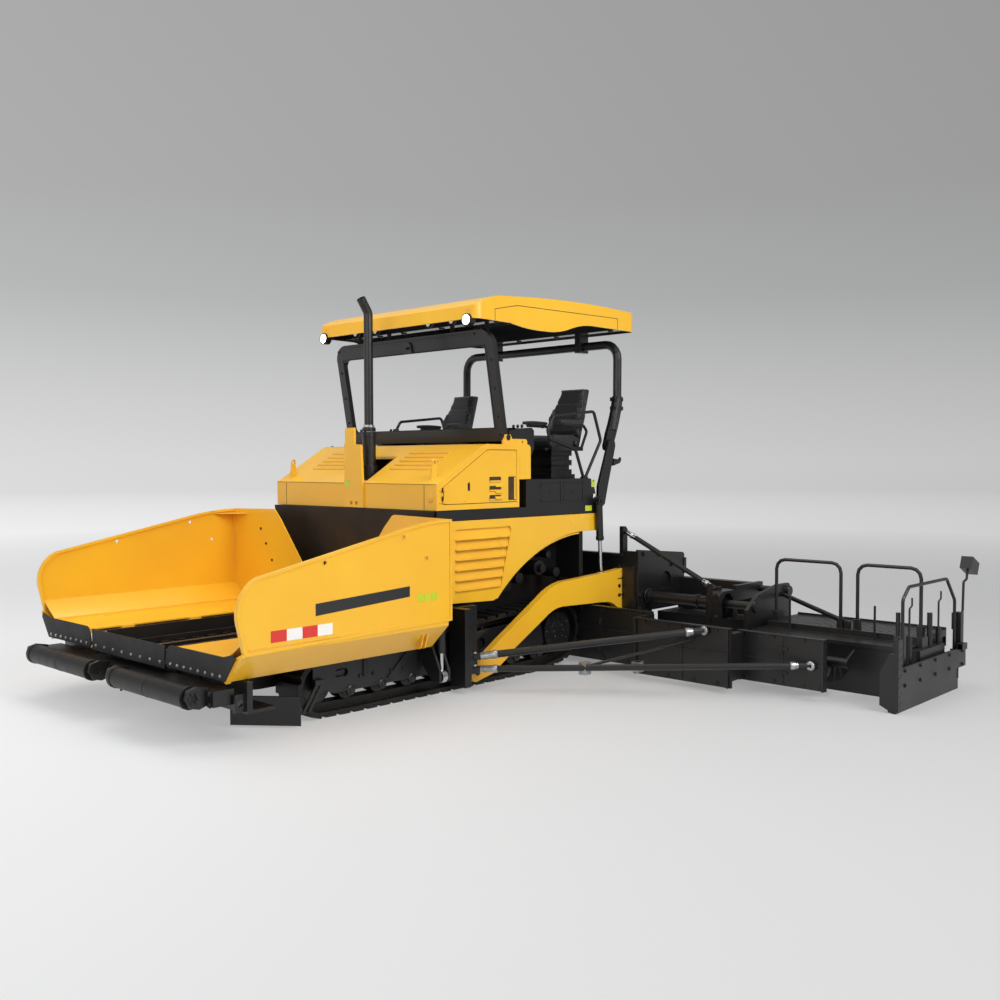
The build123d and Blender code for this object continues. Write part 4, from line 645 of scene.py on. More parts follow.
class PAVER_OT_stage(bpy.types.Operator):
    """Pale floor that runs into a soft grey backdrop, studio lights and the camera"""
    bl_idname = "paver.stage"
    bl_label = "Stage"

    def execute(self, context):
        settings = context.scene.paver_stage
        half = settings.floor_size / 2
        mesh = bpy.data.meshes.new("floor")
        mesh.from_pydata([(-half, -half, 0), (half, -half, 0), (half, half, 0), (-half, half, 0)], [],
                         [(0, 1, 2, 3)])
        material, tree, spot = new_material("studio_floor")
        # studio floor: matt and almost white, its colour darkened towards DIM_SIDE as a painted falloff of the
        # light
        side = add(tree, "ShaderNodeVectorMath", {0: spot, 1: DIM_SIDE}, operation="DOT_PRODUCT")
        fall = add(tree, "ShaderNodeMapRange", {"Value": side, "From Min": -7.0, "From Max": 7.0},
                   interpolation_type="SMOOTHSTEP")
        near = add(tree, "ShaderNodeMix", {"Factor": fall, "A": "#E6E6E6", "B": "#BCBCBC"}, data_type="RGBA")
        paint = add(tree, "ShaderNodeBsdfPrincipled", {"Base Color": near, "Roughness": 0.75})
        # painted light: the camera sees the floor partly glow, wholly far off, as bright there as the
        # backdrop's foot
        off = add(tree, "ShaderNodeVectorMath", {0: spot, 1: (-3.0, 3.0, 0.0)}, operation="DISTANCE")
        away = add(tree, "ShaderNodeMapRange",
                   {"Value": off, "From Min": 6.0, "From Max": 22.0, "To Min": 0.4})
        far = add(tree, "ShaderNodeMapRange", {"Value": off, "From Min": 12.0, "From Max": 70.0})
        foot = add(tree, "ShaderNodeMix", {"Factor": far, "A": "#E4E4E4", "B": "#D0D0D0"}, data_type="RGBA")
        painted_glow = add(tree, "ShaderNodeEmission", {"Color": foot, "Strength": sidelong(tree, spot)})
        share = add(tree, "ShaderNodeMath", {0: away, 1: seen_plainly(tree)}, operation="MULTIPLY")
        mix = add(tree, "ShaderNodeMixShader", {"Fac": share, 1: paint, 2: painted_glow})
        add(tree, "ShaderNodeOutputMaterial", {"Surface": mix})
        mesh.materials.append(material)
        shown("floor", mesh)

        world = bpy.data.worlds.new("studio")
        context.scene.world = world
        world.use_nodes = True
        tree = world.node_tree
        tree.nodes.clear()
        way = add(tree, "ShaderNodeTexCoord").outputs["Generated"]
        up = add(tree, "ShaderNodeSeparateXYZ", {"Vector": way}).outputs["Z"]
        ramp = add(tree, "ShaderNodeValToRGB", {"Fac": up})
        stops = ramp.color_ramp.elements
        stops[0].position, stops[0].color = 0.0, linear("#D0D0D0")
        stops[1].position, stops[1].color = 0.42, linear("#A2A2A2")
        for place, shade in ((0.059, "#C6C6C6"), (0.153, "#AEB0B0"), (0.24, "#A5A5A5")):
            stops.new(place).color = linear(shade)
        backdrop = add(tree, "ShaderNodeBackground", {"Color": ramp, "Strength": sidelong(tree, way)})
        light = add(tree, "ShaderNodeBackground", {"Color": "#F6F7FA", "Strength": 0.55})
        mix = add(tree, "ShaderNodeMixShader", {"Fac": seen_plainly(tree), 1: light, 2: backdrop})
        add(tree, "ShaderNodeOutputWorld", {"Surface": mix})

        # place, aim, width and power of the soft boxes, in metres and watts
        for name, place, aim, width, power in (
                ("key", (11.5, 0.5, 8.0), (0, 0, 1.5), 6.0, 980.0),
                ("front", (2.0, -12.0, 6.0), (0, 0, 1.5), 6.0, 300.0),
                ("top", (-1.5, -1.5, 11.0), (0, 0, 0), 9.0, 560.0)):
            lamp = bpy.data.lights.new(name, "AREA")
            lamp.energy, lamp.size = power, width
            rig = shown(name, lamp)
            rig.location = place
            rig.rotation_euler = (Vector(aim) - Vector(place)).to_track_quat("-Z", "Y").to_euler()

        lens = bpy.data.cameras.new("camera")
        lens.sensor_width, lens.lens, lens.clip_end = 36.0, settings.lens, 1000.0
        camera = shown("camera", lens)
        camera.location = settings.eye
        camera.rotation_euler = (radians(90 - 2.0592), radians(0.14494), radians(43.3706))
        context.scene.camera = camera
        context.scene.view_settings.view_transform = "Standard"
        return {"FINISHED"}


class PAVER_OT_finishes(bpy.types.Operator):
    """Paint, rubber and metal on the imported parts"""
    bl_idname = "paver.finishes"
    bl_label = "Finishes of the packed parts"

    def execute(self, context):
        MATERIALS.update(make_materials())
        for part in frame["record"]["subparts"]:
            finish = OWN_FINISH.get(part["node"], FINISH[part["material_slot"]])
            materials = NODES[part["node"]].data.materials
            materials.clear()
            materials.append(MATERIALS[finish])
        return {"FINISHED"}


class PAVER_OT_hopper_marks(bpy.types.Operator):
    """Red and white stripe, dark band and blank lime plates on the hopper wings"""
    bl_idname = "paver.hopper_marks"
    bl_label = "Hopper marks"

    def execute(self, context):
        red, white, lime, band = blanks(4)
        foil = WING_SIDE + 1.4
        for i, bm in enumerate((red, white, red, white)):
            y = -2844 + i * 145.5
            box(bm, WING_SIDE, foil, y, y + 145, 800, 890)
        for y in (-1352, -1272, -1192):
            box(lime, WING_SIDE, foil, y, y + 70, 962, 1030)
        prism(band, [(-2426, 960), (-1440, 1020), (-1440, 1110), (-2426, 1056)], "x", WING_SIDE,
              WING_SIDE + 1)
        both_sides("wing_red_sheeting", red, "red_sheeting", "wing")
        both_sides("wing_white_sheeting", white, "white_sheeting", "wing")
        both_sides("wing_lime_sheeting", lime, "lime_sheeting", "wing")
        both_sides("wing_dark_band", band, "band_film", "wing")
        return {"FINISHED"}


class PAVER_OT_hopper_flaps(bpy.types.Operator):
    """Rubber flaps in front of the wings and apron, their bolts, and the guards inside the bowl"""
    bl_idname = "paver.hopper_flaps"
    bl_label = "Hopper flaps"

    def execute(self, context):
        flap, apron, guard = blanks(3)
        front = FLAP_BACK - 14
        prism(flap, [(690, 520), (650, 548), (668, 640), (700, 690), (742, 704), (1500, 704), (1640, 738),
                     (1662, 700), (1520, 518)], "y", front, FLAP_BACK)
        both_sides("front_flap", flap, "rubber", "wing", bevel=2.5)
        bolts("flap_bolt", facing(AHEAD, [(735 + 104 * i, front, 552) for i in range(8)]), "wing", "m12",
              0.006,
              "zinc")
        front, width = FLAP_BACK - 11, 634
        prism(apron, [(-width, 500), (width, 500), (width, 676), (width - 12, 690), (12 - width, 690),
                      (-width, 676)], "y", front, front + 12)
        piece("front_apron_flap", apron, "rubber", "machine", bevel=2.5)
        bolts("apron_bolt", facing(AHEAD, [(-560 + 160 * i, front, 548) for i in range(8)]), "machine", "m12",
              0.006, "zinc", mirrored=False)
        box(guard, 598, 606, -3000, -990, 505, 668)
        both_sides("bowl_side_guard", guard, "charcoal", "machine", bevel=1.5)
        return {"FINISHED"}


class PAVER_OT_hopper_bolts(bpy.types.Operator):
    """Weld bead, bosses and bolts of the wings, bolts of push beam and rollers, rings of the rollers"""
    bl_idname = "paver.hopper_bolts"
    bl_label = "Hopper bolts"

    def execute(self, context):
        bead, collars = blanks(2)
        rod(bead, (WING_SIDE, -3040, 770), (WING_SIDE, -990, 770), 5, 8)
        for y, z in ((-2331, 1372), (-1508, 1530), (-1247, 1336)):
            ring(bead, (WING_SIDE - 1, y, z), OUT, 27, 17, 4)
        both_sides("wing_weld_and_bosses", bead, "enamel", "wing")
        # bolts up the slanting edge of the wing's rear wall, by their share of its length
        edge = [(728 + 530 * share, -962, 683 + 860 * share) for share in (0.12, 0.32, 0.52, 0.72, 0.9)]
        bolts("wing_rear_wall_bolt", facing(AHEAD, edge), "wing", "m12", 0.007)
        beam = [(x, -3201, z) for x in (60, 1445) for z in (348, 432)]
        bolts("push_beam_bolt", facing(AHEAD, beam), "machine", "m20", 0.014)
        bolts("push_roller_bolt", facing(OUT, pitch_circle(1415.5, ROLLER, 38, 6)), "machine", "m12", 0.008)
        for x in (208, 776, 1352):
            turned(collars, (x - 5, *ROLLER), OUT, [(0, 84), (1, 86), (9, 86), (10, 84)], 40)
        both_sides("push_roller_rings", collars, "track_steel", "push_roller")
        return {"FINISHED"}


def track_path(step):
    """Points and outward ways round the track at an even step, from its four wheels in turn."""
    # Y, Z and radius to the shoes' outer face: first and last lower roller, drive, idler
    wheels = [(-1705, 192, 192), (780, 192, 192), (*SPROCKET, 330), (-2020, 262, 255)]
    spans = []
    for (ya, za, ra), (yb, zb, rb) in zip(wheels, wheels[1:] + wheels[:1]):
        way = Vector((yb - ya, zb - za))
        lean = (ra - rb) / way.length
        way.normalize()
        normal = Vector((way.y, -way.x)) * sqrt(1 - lean * lean) + way * lean
        spans.append((Vector((ya, za)) + normal * ra, Vector((yb, zb)) + normal * rb, normal))
    line = []
    for (start, end, normal), following, (y, z, radius) in zip(spans, spans[1:] + spans[:1],
                                                               wheels[1:] + wheels[:1]):
        line += [(start, normal), (end, normal)]
        turn = abs(normal.angle_signed(following[2]))
        parts = max(2, int(turn / radians(3)))
        for k in range(1, parts):
            angle = atan2(normal.y, normal.x) + turn * k / parts
            way = Vector((cos(angle), sin(angle)))
            line.append((Vector((y, z)) + way * radius, way))
    line.append(line[0])
    reached = [0.0]
    for (a, _), (b, _) in zip(line, line[1:]):
        reached.append(reached[-1] + (b - a).length)
    number = round(reached[-1] / step)
    spots, j = [], 0
    for i in range(number):
        along = (i + 0.5) * reached[-1] / number
        while reached[j + 1] < along:
            j += 1
        share = (along - reached[j]) / (reached[j + 1] - reached[j])
        spots.append((line[j][0].lerp(line[j + 1][0], share),
                      line[j][1].lerp(line[j + 1][1], share).normalized()))
    return spots


class PAVER_OT_tracks(bpy.types.Operator):
    """Link pins and pad bolts round the tracks, bolts, rings and caps of the track frames and drives"""
    bl_idname = "paver.tracks"
    bl_label = "Tracks"

    def execute(self, context):
        pins, pads = [], []
        for place, way in track_path(152.0):
            along = Vector((-way.y, way.x))
            # X, depth under the shoes' face and place along the link
            for row, x, depth, shift in ((pins, 1158, 78, 38), (pins, 1158, 78, -38),
                                         (pads, 1270, 24, -24), (pads, 1270, 24, 24)):
                row.append((x, *(place - way * depth + along * shift)))
        buttons("track_link_pin", facing(OUT, pins), "machine", 0.036, 0.008, "track_steel")
        buttons("track_pad_bolt", facing(OUT, pads), "machine", 0.016, 0.005, "track_steel")
        bolts("sprocket_cover_bolt", facing(OUT, pitch_circle(TRACK_SIDE + 5, SPROCKET, 165, 12)), "machine",
              "m16", 0.012)
        bolts("sprocket_cap_bolt", facing(OUT, pitch_circle(TRACK_SIDE + 17, SPROCKET, 76, 8)), "machine",
              "m12",
              0.009)
        rims = bmesh.new()
        for y, z, radius in ((-824, 362, 62), (-100, 390, 62), (500, 400, 50)):
            ring(rims, (TRACK_SIDE, y, z), OUT, radius + 12, radius, 4)
        for i in range(7):
            turned(rims, (TRACK_SIDE - 1, ROLLER_FIRST + ROLLER_PITCH * i, 192), OUT,
                   [(0, 46), (8, 46), (14, 38), (16, 20), (22, 20), (24, 16)])
        both_sides("track_frame_rings", rims, "charcoal", "machine")
        cheek = [(TRACK_SIDE, y, 300) for y in (-1600, -1450, -1250, -650, -450, 250, 700)]
        bolts("track_frame_bolt", facing(OUT, cheek), "machine", "m16", 0.012)
        return {"FINISHED"}


class PAVER_OT_hood(bpy.types.Operator):
    """Seams, caps, louvre lips, grilles, latches, hinges and screws of the hood, and the exhaust's clamp"""
    bl_idname = "paver.hood"
    bl_label = "Hood"

    def execute(self, context):
        cover, seam, cap, lips, plate, grille, dark, sills, latch, hinge, clamp = blanks(11)
        foil = HOOD_SIDE + 1.5
        prism(cover, rounded(448, 567, 2045, 2248, 12), "x", HOOD_SIDE, foil)
        both_sides("hood_side_cover", cover, "enamel", "machine", bevel=0.7)
        prism(seam, [(-612, 1766), (-608, 1766), (-608, 1926), (-612, 1926)], "x", HOOD_SIDE, HOOD_SIDE + 1)
        for a, b in (((1100, 1716), (1100, 1950)), ((-1100, 1716), (-1100, 1950)),
                     ((-1268, 1955), (1268, 1955))):
            rod(seam, (a[0], HOOD_FRONT, a[1]), (b[0], HOOD_FRONT, b[1]), 2.2, 6)
        piece("hood_seams", seam, "nylon", "machine")
        turned(cap, (1185, HOOD_FRONT + 1, 1828), AHEAD,
               [(0, 44), (4, 44), (5, 36), (7, 36), (7, 24), (10, 24),
                                                          (11, 14), (11, 6), (12, 5)], 32)
        for z in (1790, 1905):
            for side in (1, -1):
                turned(cap, (side * HOOD_SIDE, -655, z), (side, 0, 0), [(0, 18), (6, 17), (8, 12)], 20)
        piece("hood_front_caps", cap, "enamel", "machine")
        for i in range(5):
            # the slope rises by 370 over the 615 from the hood's front edge
            y = -450 + 66 * i
            z = 1953 + (y + 700) * 370 / 615
            prism(lips, [(y - 27, z - 15), (y + 27, z + 17.5), (y + 27, z + 20), (y - 27, z + 1)], "x", 346,
                  924)
        both_sides("hood_louvre", lips, "enamel", "machine", bevel=1.0)
        box(plate, -55, 15, -723.5, -722, 1915, 1985)
        piece("post_blank_plate", plate, "lime_sheeting", "machine")

        # a plate over the door's openings, their insides as painted shade, and their sills
        face, inside, lip = HOOD_SIDE + 0.8, HOOD_SIDE + 1.4, HOOD_SIDE + 6
        prism(grille, rounded(-10, 398, 1774, 2032, 10), "x", HOOD_SIDE, face)
        for z in (1784, 1874, 1964):
            prism(dark, rounded(8, 172, z, z + 56, 9), "x", face, inside)
            prism(sills, [(inside, z + 3), (lip, z + 3), (inside, z + 20)], "y", 14, 166)
        prism(dark, rounded(278, 388, 1784, 2020, 10), "x", face, inside)
        prism(sills, [(inside, 362), (lip, 380), (inside, 382)], "z", 1792, 2012)
        both_sides("hood_grille_plate", grille, "enamel", "hood_door")
        both_sides("hood_opening", dark, "hood_shade", "hood_door")
        both_sides("hood_opening_sill", sills, "enamel", "hood_door")
        prism(latch, rounded(-284, -264, 1893, 1962, 6), "x", HOOD_SIDE - 8, foil)
        prism(latch, rounded(-281, -267, 1935, 1957, 5), "x", foil, HOOD_SIDE + 7)
        both_sides("hood_latch", latch, "nylon", "hood_door", bevel=1.5)
        for z in (1800, 1880):
            rod(hinge, (HOOD_SIDE + 11, -630, z), (HOOD_SIDE + 11, -630, z + 44), 8, 12, 1.5)
        both_sides("hood_hinge_knuckle", hinge, "bolt_steel", "machine")
        screws = [(HOOD_SIDE, y, z) for y, z in ((-580, 1800), (-330, 1790), (50, 1790), (385, 1800),
                                                 (385, 2120),
                                                 (385, 2265), (-10, 2265), (-330, 2085))]
        buttons("hood_door_screw", facing(OUT, screws), "hood_door", 0.018, 0.006, "enamel")

        ring(clamp, (-5, -450, 2520), UP, 58, 47, 26)
        prism(clamp, [(-68, -458), (-52, -458), (-52, -442), (-68, -442)], "z", 2522, 2544)
        rod(clamp, (-60, -472, 2533), (-60, -428, 2533), 5, 10)
        piece("exhaust_clamp", clamp, "zinc", "exhaust_stack")
        bolts("hood_top_bolt", facing(UP, [(1230, y, 2340) for y in (20, 300, 560)]), "machine", "m12", 0.008)
        return {"FINISHED"}


class PAVER_OT_side_slats(bpy.types.Operator):
    """Folded lips that overhang the slats of the side panels"""
    bl_idname = "paver.side_slats"
    bl_label = "Side slats"

    def execute(self, context):
        slats = bmesh.new()
        for i in range(6):
            # the field narrows towards its foot at the rear
            z, rear = 938 + 97 * i, 166 + 26 * i
            prism(slats, [(1258, z - 5), (1298, z - 3), (1300, z + 1), (1298, z + 5), (1258, z + 5)], "y",
                  -462, rear)
        both_sides("side_slat", slats, "enamel", "machine", bevel=1.5)
        return {"FINISHED"}


class PAVER_OT_roof(bpy.types.Operator):
    """Side panel line, head lamps, work lamps and bearer bolts of the roof"""
    bl_idname = "paver.roof"
    bl_label = "Roof"

    def execute(self, context):
        line, rim, glass, case, small_glass = blanks(5)
        path = [(1238.5, y, z) for y, z in ((126, 3558), (126, 3668), (454, 3734), (2113, 3763),
                                            (2113, 3637))]
        for a, b in zip(path, path[1:]):
            rod(line, a, b, 4, 6)
        both_sides("roof_panel_line", line, "nylon", "canopy_roof")
        turned(rim, (1130, -92, 3545), AHEAD, [(0, 52), (8, 62), (76, 62), (80, 58), (80, 50), (75, 47)], 32)
        turned(glass, (1130, -165.5, 3545), AHEAD, [(0, 50), (3, 48), (7, 36), (9, 14)], 32)
        both_sides("roof_lamp_rim", rim, "nylon", "canopy_roof")
        both_sides("roof_lamp_glass", glass, "lamp_glass", "canopy_roof")
        for x in (420, 760):
            turned(case, (x, 40, 3588), AHEAD, [(0, 30), (10, 40), (52, 44), (58, 42), (58, 36), (48, 34)])
            turned(small_glass, (x, -9, 3588), AHEAD, [(0, 34), (3, 33), (5, 18)])
        both_sides("work_lamp_case", case, "nylon", "canopy_roof")
        both_sides("work_lamp_glass", small_glass, "small_glass", "canopy_roof")
        bearers = [(x, y, z) for x in (300, 700, 1100)
                   for y, z in ((275, 3575), (315, 3575), (2145, 3640), (2185, 3640))]
        bolts("roof_bearer_bolt", facing(DOWN, bearers), "canopy_roof", "m16", 0.010)
        return {"FINISHED"}


class PAVER_OT_front_frame(bpy.types.Operator):
    """Window seal, bolts and foot pins of the folding front frame"""
    bl_idname = "paver.front_frame"
    bl_label = "Front frame"

    def execute(self, context):
        seal, pins = blanks(2)
        foot = Vector((0, *FRONT_FOOT))
        lean = (Vector((0, *FRONT_HEAD)) - foot).normalized()
        out = Vector((0, -lean.z, lean.y))

        def on_frame(x, z, proud):
            return Vector((x, 0, 0)) + foot + lean * ((z - foot.z) / lean.z) + out * proud
        corners = [on_frame(x, z, 31) for x, z in ((-1122, 2508), (1122, 2508), (1122, 3322), (-1122, 3322))]
        for a, b in zip(corners, corners[1:] + corners[:1]):
            rod(seal, a, b, 7, 8)
        piece("window_seal", seal, "nylon", "canopy_front")
        posts = [tuple(on_frame(1180, z, 30)) for z in (2440, 2620, 2900, 3180, 3420)]
        bolts("front_frame_bolt", facing(tuple(out), posts), "canopy_front", "m12", 0.008)
        turned(pins, (1232, *FRONT_FOOT), OUT, [(0, 30), (20, 30), (34, 30), (36, 27)], 20)
        turned(pins, (1266, *FRONT_FOOT), OUT, [(0, 14), (6, 14)], 6)
        both_sides("front_frame_pin", pins, "bolt_steel", "machine")
        return {"FINISHED"}


def foam(name, bm, channels=()):
    """Foam block under vinyl: the mesh is rounded, blown up a little as cloth, and drawn in along its sewn
    channels, each a function that gives a depth in metres at a point."""
    settings = bpy.context.scene.paver_seats
    raw = shown(name + "_raw", to_mesh(name, bm))
    net = raw.modifiers.new("even mesh", "REMESH")
    net.mode, net.voxel_size = "VOXEL", settings.voxel
    soft = raw.modifiers.new("round corners", "SMOOTH")
    soft.factor, soft.iterations = 0.5, 8
    block = applied(raw)
    bpy.data.objects.remove(raw)
    made = shown(name, block)
    start = [vert.co.copy() for vert in block.vertices]
    cloth = made.modifiers.new("foam pressure", "CLOTH")
    cloth.settings.quality = 4
    cloth.settings.mass = 0.3
    cloth.settings.use_pressure = True
    cloth.settings.uniform_pressure_force = 3.5
    cloth.settings.effector_weights.gravity = 0.0
    cloth.point_cache.frame_start, cloth.point_cache.frame_end = 1, 20
    for step in range(1, 21):
        bpy.context.scene.frame_set(step)
    blown = made.evaluated_get(bpy.context.evaluated_depsgraph_get())
    ends = [vert.co.copy() for vert in blown.to_mesh().vertices]
    blown.to_mesh_clear()
    made.modifiers.remove(cloth)
    bpy.context.scene.frame_set(1)
    for vert, a, b in zip(block.vertices, start, ends):
        move = b - a
        if move.length > settings.swell:
            move *= settings.swell / move.length
        vert.co = a + move
    block.update()
    for vert in block.vertices:
        depth = max([channel(vert.co / MM) for channel in channels] or [0.0])
        if depth:
            vert.co = vert.co - vert.normal * depth
    finer = made.modifiers.new("finer", "SUBSURF")
    finer.levels = finer.render_levels = 1
    final = applied(made)
    made.modifiers.remove(finer)
    made.data = final
    final.materials.clear()
    final.materials.append(MATERIALS["vinyl"])
    final.polygons.foreach_set("use_smooth", [True] * len(final.polygons))
    return made


def sewn(axis, place, half, depth, where):
    """Channel across an axis, as a function that gives its depth in metres at a point of the foam."""
    def sunk(point):
        away = abs(point["xyz".index(axis)] - place)
        return depth * (1 - (away / half) ** 2) ** 2 * MM if away < half and where(point) else 0.0
    return sunk


def welt(made, centre, normal):
    """Sewn cord round a cushion: a loop in a plane through the centre, laid on the foam's surface."""
    mesh, centre = made.data, Vector(centre)
    tree = BVHTree.FromPolygons([vert.co / MM for vert in mesh.vertices],
                                [tuple(face.vertices) for face in mesh.polygons])
    side = Vector(OUT)
    up = Vector(normal).normalized().cross(side).normalized()
    path = []
    for k in range(72):
        way = side * cos(2 * pi * k / 72) + up * sin(2 * pi * k / 72)
        hit = tree.ray_cast(centre + way * 700, -way)[0]
        if hit is not None:
            path.append(hit)
    return path + [path[0]]


class PAVER_OT_seats(bpy.types.Operator):
    """Padded seats with bolsters, sewn channels, welts and arm pads, and the trim under them"""
    bl_idname = "paver.seats"
    bl_label = "Seats"

    def execute(self, context):
        seat, back, cord, trim = blanks(4)
        prism(seat, [(1128, 2340), (1120, 2385), (1132, 2424), (1300, 2428), (1560, 2424), (1640, 2420),
                     (1645, 2338)], "x", SEAT - 226, SEAT + 226)
        # half width, and Y, Z of the front and back edges, from the foot of the backrest to its head
        skin(back, [[(SEAT - half, yf, zf), (SEAT + half, yf, zf), (SEAT + half, yb, zb),
                     (SEAT - half, yb, zb)]
                    for half, yf, zf, yb, zb in (
                        (228, 1606, 2450, 1654, 2436), (234, 1634, 2620, 1716, 2604),
                        (226, 1668, 2720, 1752, 2706),
                        (206, 1710, 2820, 1788, 2806), (178, 1752, 2920, 1828, 2902),
                        (168, 1776, 2990, 1842, 2972))])
        for side in (-1, 1):
            prism(seat, [(1150, 2400), (1200, 2443), (1560, 2443), (1620, 2420), (1600, 2360), (1160, 2360)],
                  "x",
                  *sorted((SEAT + side * 165, SEAT + side * 231)))
            prism(back, [(1596, 2470), (1606, 2640), (1668, 2760), (1720, 2740), (1680, 2620), (1640, 2470)],
                  "x",
                  *sorted((SEAT + side * 160, SEAT + side * 226)))
        cushion = foam("seat_cushion_left", seat, (
            sewn("x", SEAT - 150, 14, 7, lambda p: p.z > 2395),
            sewn("x", SEAT + 150, 14, 7, lambda p: p.z > 2395),
            sewn("y", 1330, 13, 6, lambda p: p.z > 2395 and abs(p.x - SEAT) < 150),
            sewn("y", 1470, 13, 6, lambda p: p.z > 2395 and abs(p.x - SEAT) < 150)))
        rest = foam("seat_back_left", back, (
            sewn("z", 2560, 14, 7, lambda p: p.y < 1690 and abs(p.x - SEAT) < 158),
            sewn("z", 2650, 14, 7, lambda p: p.y < 1720 and abs(p.x - SEAT) < 158),
            sewn("z", 2818, 15, 12, lambda p: True),
            sewn("x", SEAT - 158, 13, 7, lambda p: p.y < 1700 and p.z < 2790),
            sewn("x", SEAT + 158, 13, 7, lambda p: p.y < 1700 and p.z < 2790)))
        pipe(cord, welt(cushion, (SEAT, 1385, 2392), UP), 4.5, 8)
        # the backrest leans 176 back over 550 of its height
        pipe(cord, welt(rest, (SEAT, 1716, 2715), (0, -550, 176)), 4.5, 8)

        pads = []
        for side, name in ((-1, "inner"), (1, "outer")):
            pad = bmesh.new()
            x = SEAT + side * 262
            prism(pad, [(x - 24, 1240), (x - 31, 1280), (x - 33, 1420), (x - 29, 1600), (x - 18, 1634),
                        (x + 18, 1634), (x + 29, 1600), (x + 33, 1420), (x + 31, 1280), (x + 24, 1240),
                        (x, 1232)],
                  "z", 2578, 2612)
            pads.append(foam("seat_arm_" + name + "_left", pad))
        lefts = [cushion, rest, *pads]
        rights = []
        for made in lefts:
            other = made.data.copy()
            for vert in other.vertices:
                vert.co.x = -vert.co.x
            other.flip_normals()
            rights.append(shown(made.name.replace("left", "right"), other))
        for made in lefts + rights:
            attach(made, "machine")
            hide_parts("seat_cushions")
        both_sides("seat_welt", cord, "welt", "machine")

        for z in (2076, 2128, 2180, 2232):
            box(trim, SEAT - 172, SEAT + 172, 1208, 1552, z - 3, z + 3)
        for side in (-1, 1):
            x = SEAT + side * 262
            prism(trim, [(1560, 2540), (1620, 2570), (1620, 2577), (1400, 2577)], "x", x - 12, x + 12)
            turned(trim, (SEAT + side * 229, 1560, 2365), (side, 0, 0),
                   [(0, 34), (10, 36), (16, 30), (18, 12)])
        knob = (SEAT + 190, 1105, 2300)
        rod(trim, (SEAT + 190, 1180, 2310), knob, 8, 10, 2)
        turned(trim, knob, (0, -1, -0.13), [(0, 10), (6, 17), (26, 18), (32, 12)], 16)
        both_sides("seat_trim", trim, "nylon", "machine", bevel=1.0)
        return {"FINISHED"}


class PAVER_OT_controls(bpy.types.Operator):
    """Panels, dark displays, knobs and levers of the operator's desks"""
    bl_idname = "paver.controls"
    bl_label = "Controls"

    def execute(self, context):
        panel, glass, knobs = blanks(3)
        # the desk's top runs from its front edge up to the back edge
        front, back = Vector((0, 800, 2440)), Vector((0, 560, 2520))
        way = (back - front).normalized()
        normal = Vector((0, way.z, -way.y))

        def on_desk(x, along, proud=0):
            return Vector((x, 0, 0)) + front + way * along + normal * proud
        for bm, x0, x1, near, far, low, high in ((panel, 420, 1080, 20, 230, 0, 5),
                                                 (glass, 640, 860, 60, 200, 5, 8)):
            skin(bm, [[on_desk(x, along, proud) for x,
                       along in ((x0, near), (x1, near), (x1, far), (x0, far))]
                      for proud in (low, high)])
        for i in range(4):
            for j in range(3):
                turned(knobs, on_desk(460 + 44 * i, 60 + 52 * j, 5), normal,
                       [(0, 13), (8, 13), (10, 11), (18, 9), (20, 6)], 14)
        for x in (920, 980, 1040):
            rod(knobs, on_desk(x, 90, 4), on_desk(x, 90, 60), 5, 8)
            turned(knobs, on_desk(x, 90, 56), normal, [(0, 8), (6, 14), (22, 16), (32, 11), (34, 4)], 14)
        both_sides("desk_panel", panel, "charcoal", "machine", bevel=2.0)
        both_sides("desk_display", glass, "screen", "machine", bevel=1.5)
        both_sides("desk_knobs", knobs, "nylon", "machine")
        return {"FINISHED"}


def tread_spots(x0, x1, y0, y1, z, clear=()):
    """Even alternating bars on a rectangle of tread plate, left out where something stands on it."""
    pitch = bpy.context.scene.paver_fasteners.tread_pitch / MM
    edge = 20
    spots = []
    for i in range(int((x1 - x0 - edge) / pitch) + 1):
        for j in range(int((y1 - y0 - edge) / pitch) + 1):
            x, y = x0 + edge + i * pitch, y0 + edge + j * pitch
            if not any(a < x < b and c < y < d for a, b, c, d in clear):
                turn = radians(45 if (i + j) % 2 else -45)
                spots.append(((x, y, z), (cos(turn), sin(turn), 0)))
    return spots


class PAVER_OT_treads(bpy.types.Operator):
    """Tread plate on the deck and the screed's walkways"""
    bl_idname = "paver.treads"
    bl_label = "Tread plate"

    def execute(self, context):
        deck = tread_spots(-1240, 1240, 850, 1715, 1706, ((-1275, -630, 530, 1700), (630, 1275, 530, 1700)))
        walk = tread_spots(-1435, 1435, 2930, 3398, 601)
        step = tread_spots(3060, 4590, 2255, 2895, 541, ((3090, 3860, 2270, 2330), (3950, 4620, 2270, 2330)))
        bar = {"Length": 0.036, "Height": 0.003}
        repeat("deck_tread", "tread_bars", deck, "charcoal", "machine", **bar)
        repeat("walkway_tread", "tread_bars", walk, "charcoal", "screed_unit", **bar)
        repeat_both("extension_tread", "tread_bars", step, "charcoal", "extension", **bar)
        return {"FINISHED"}


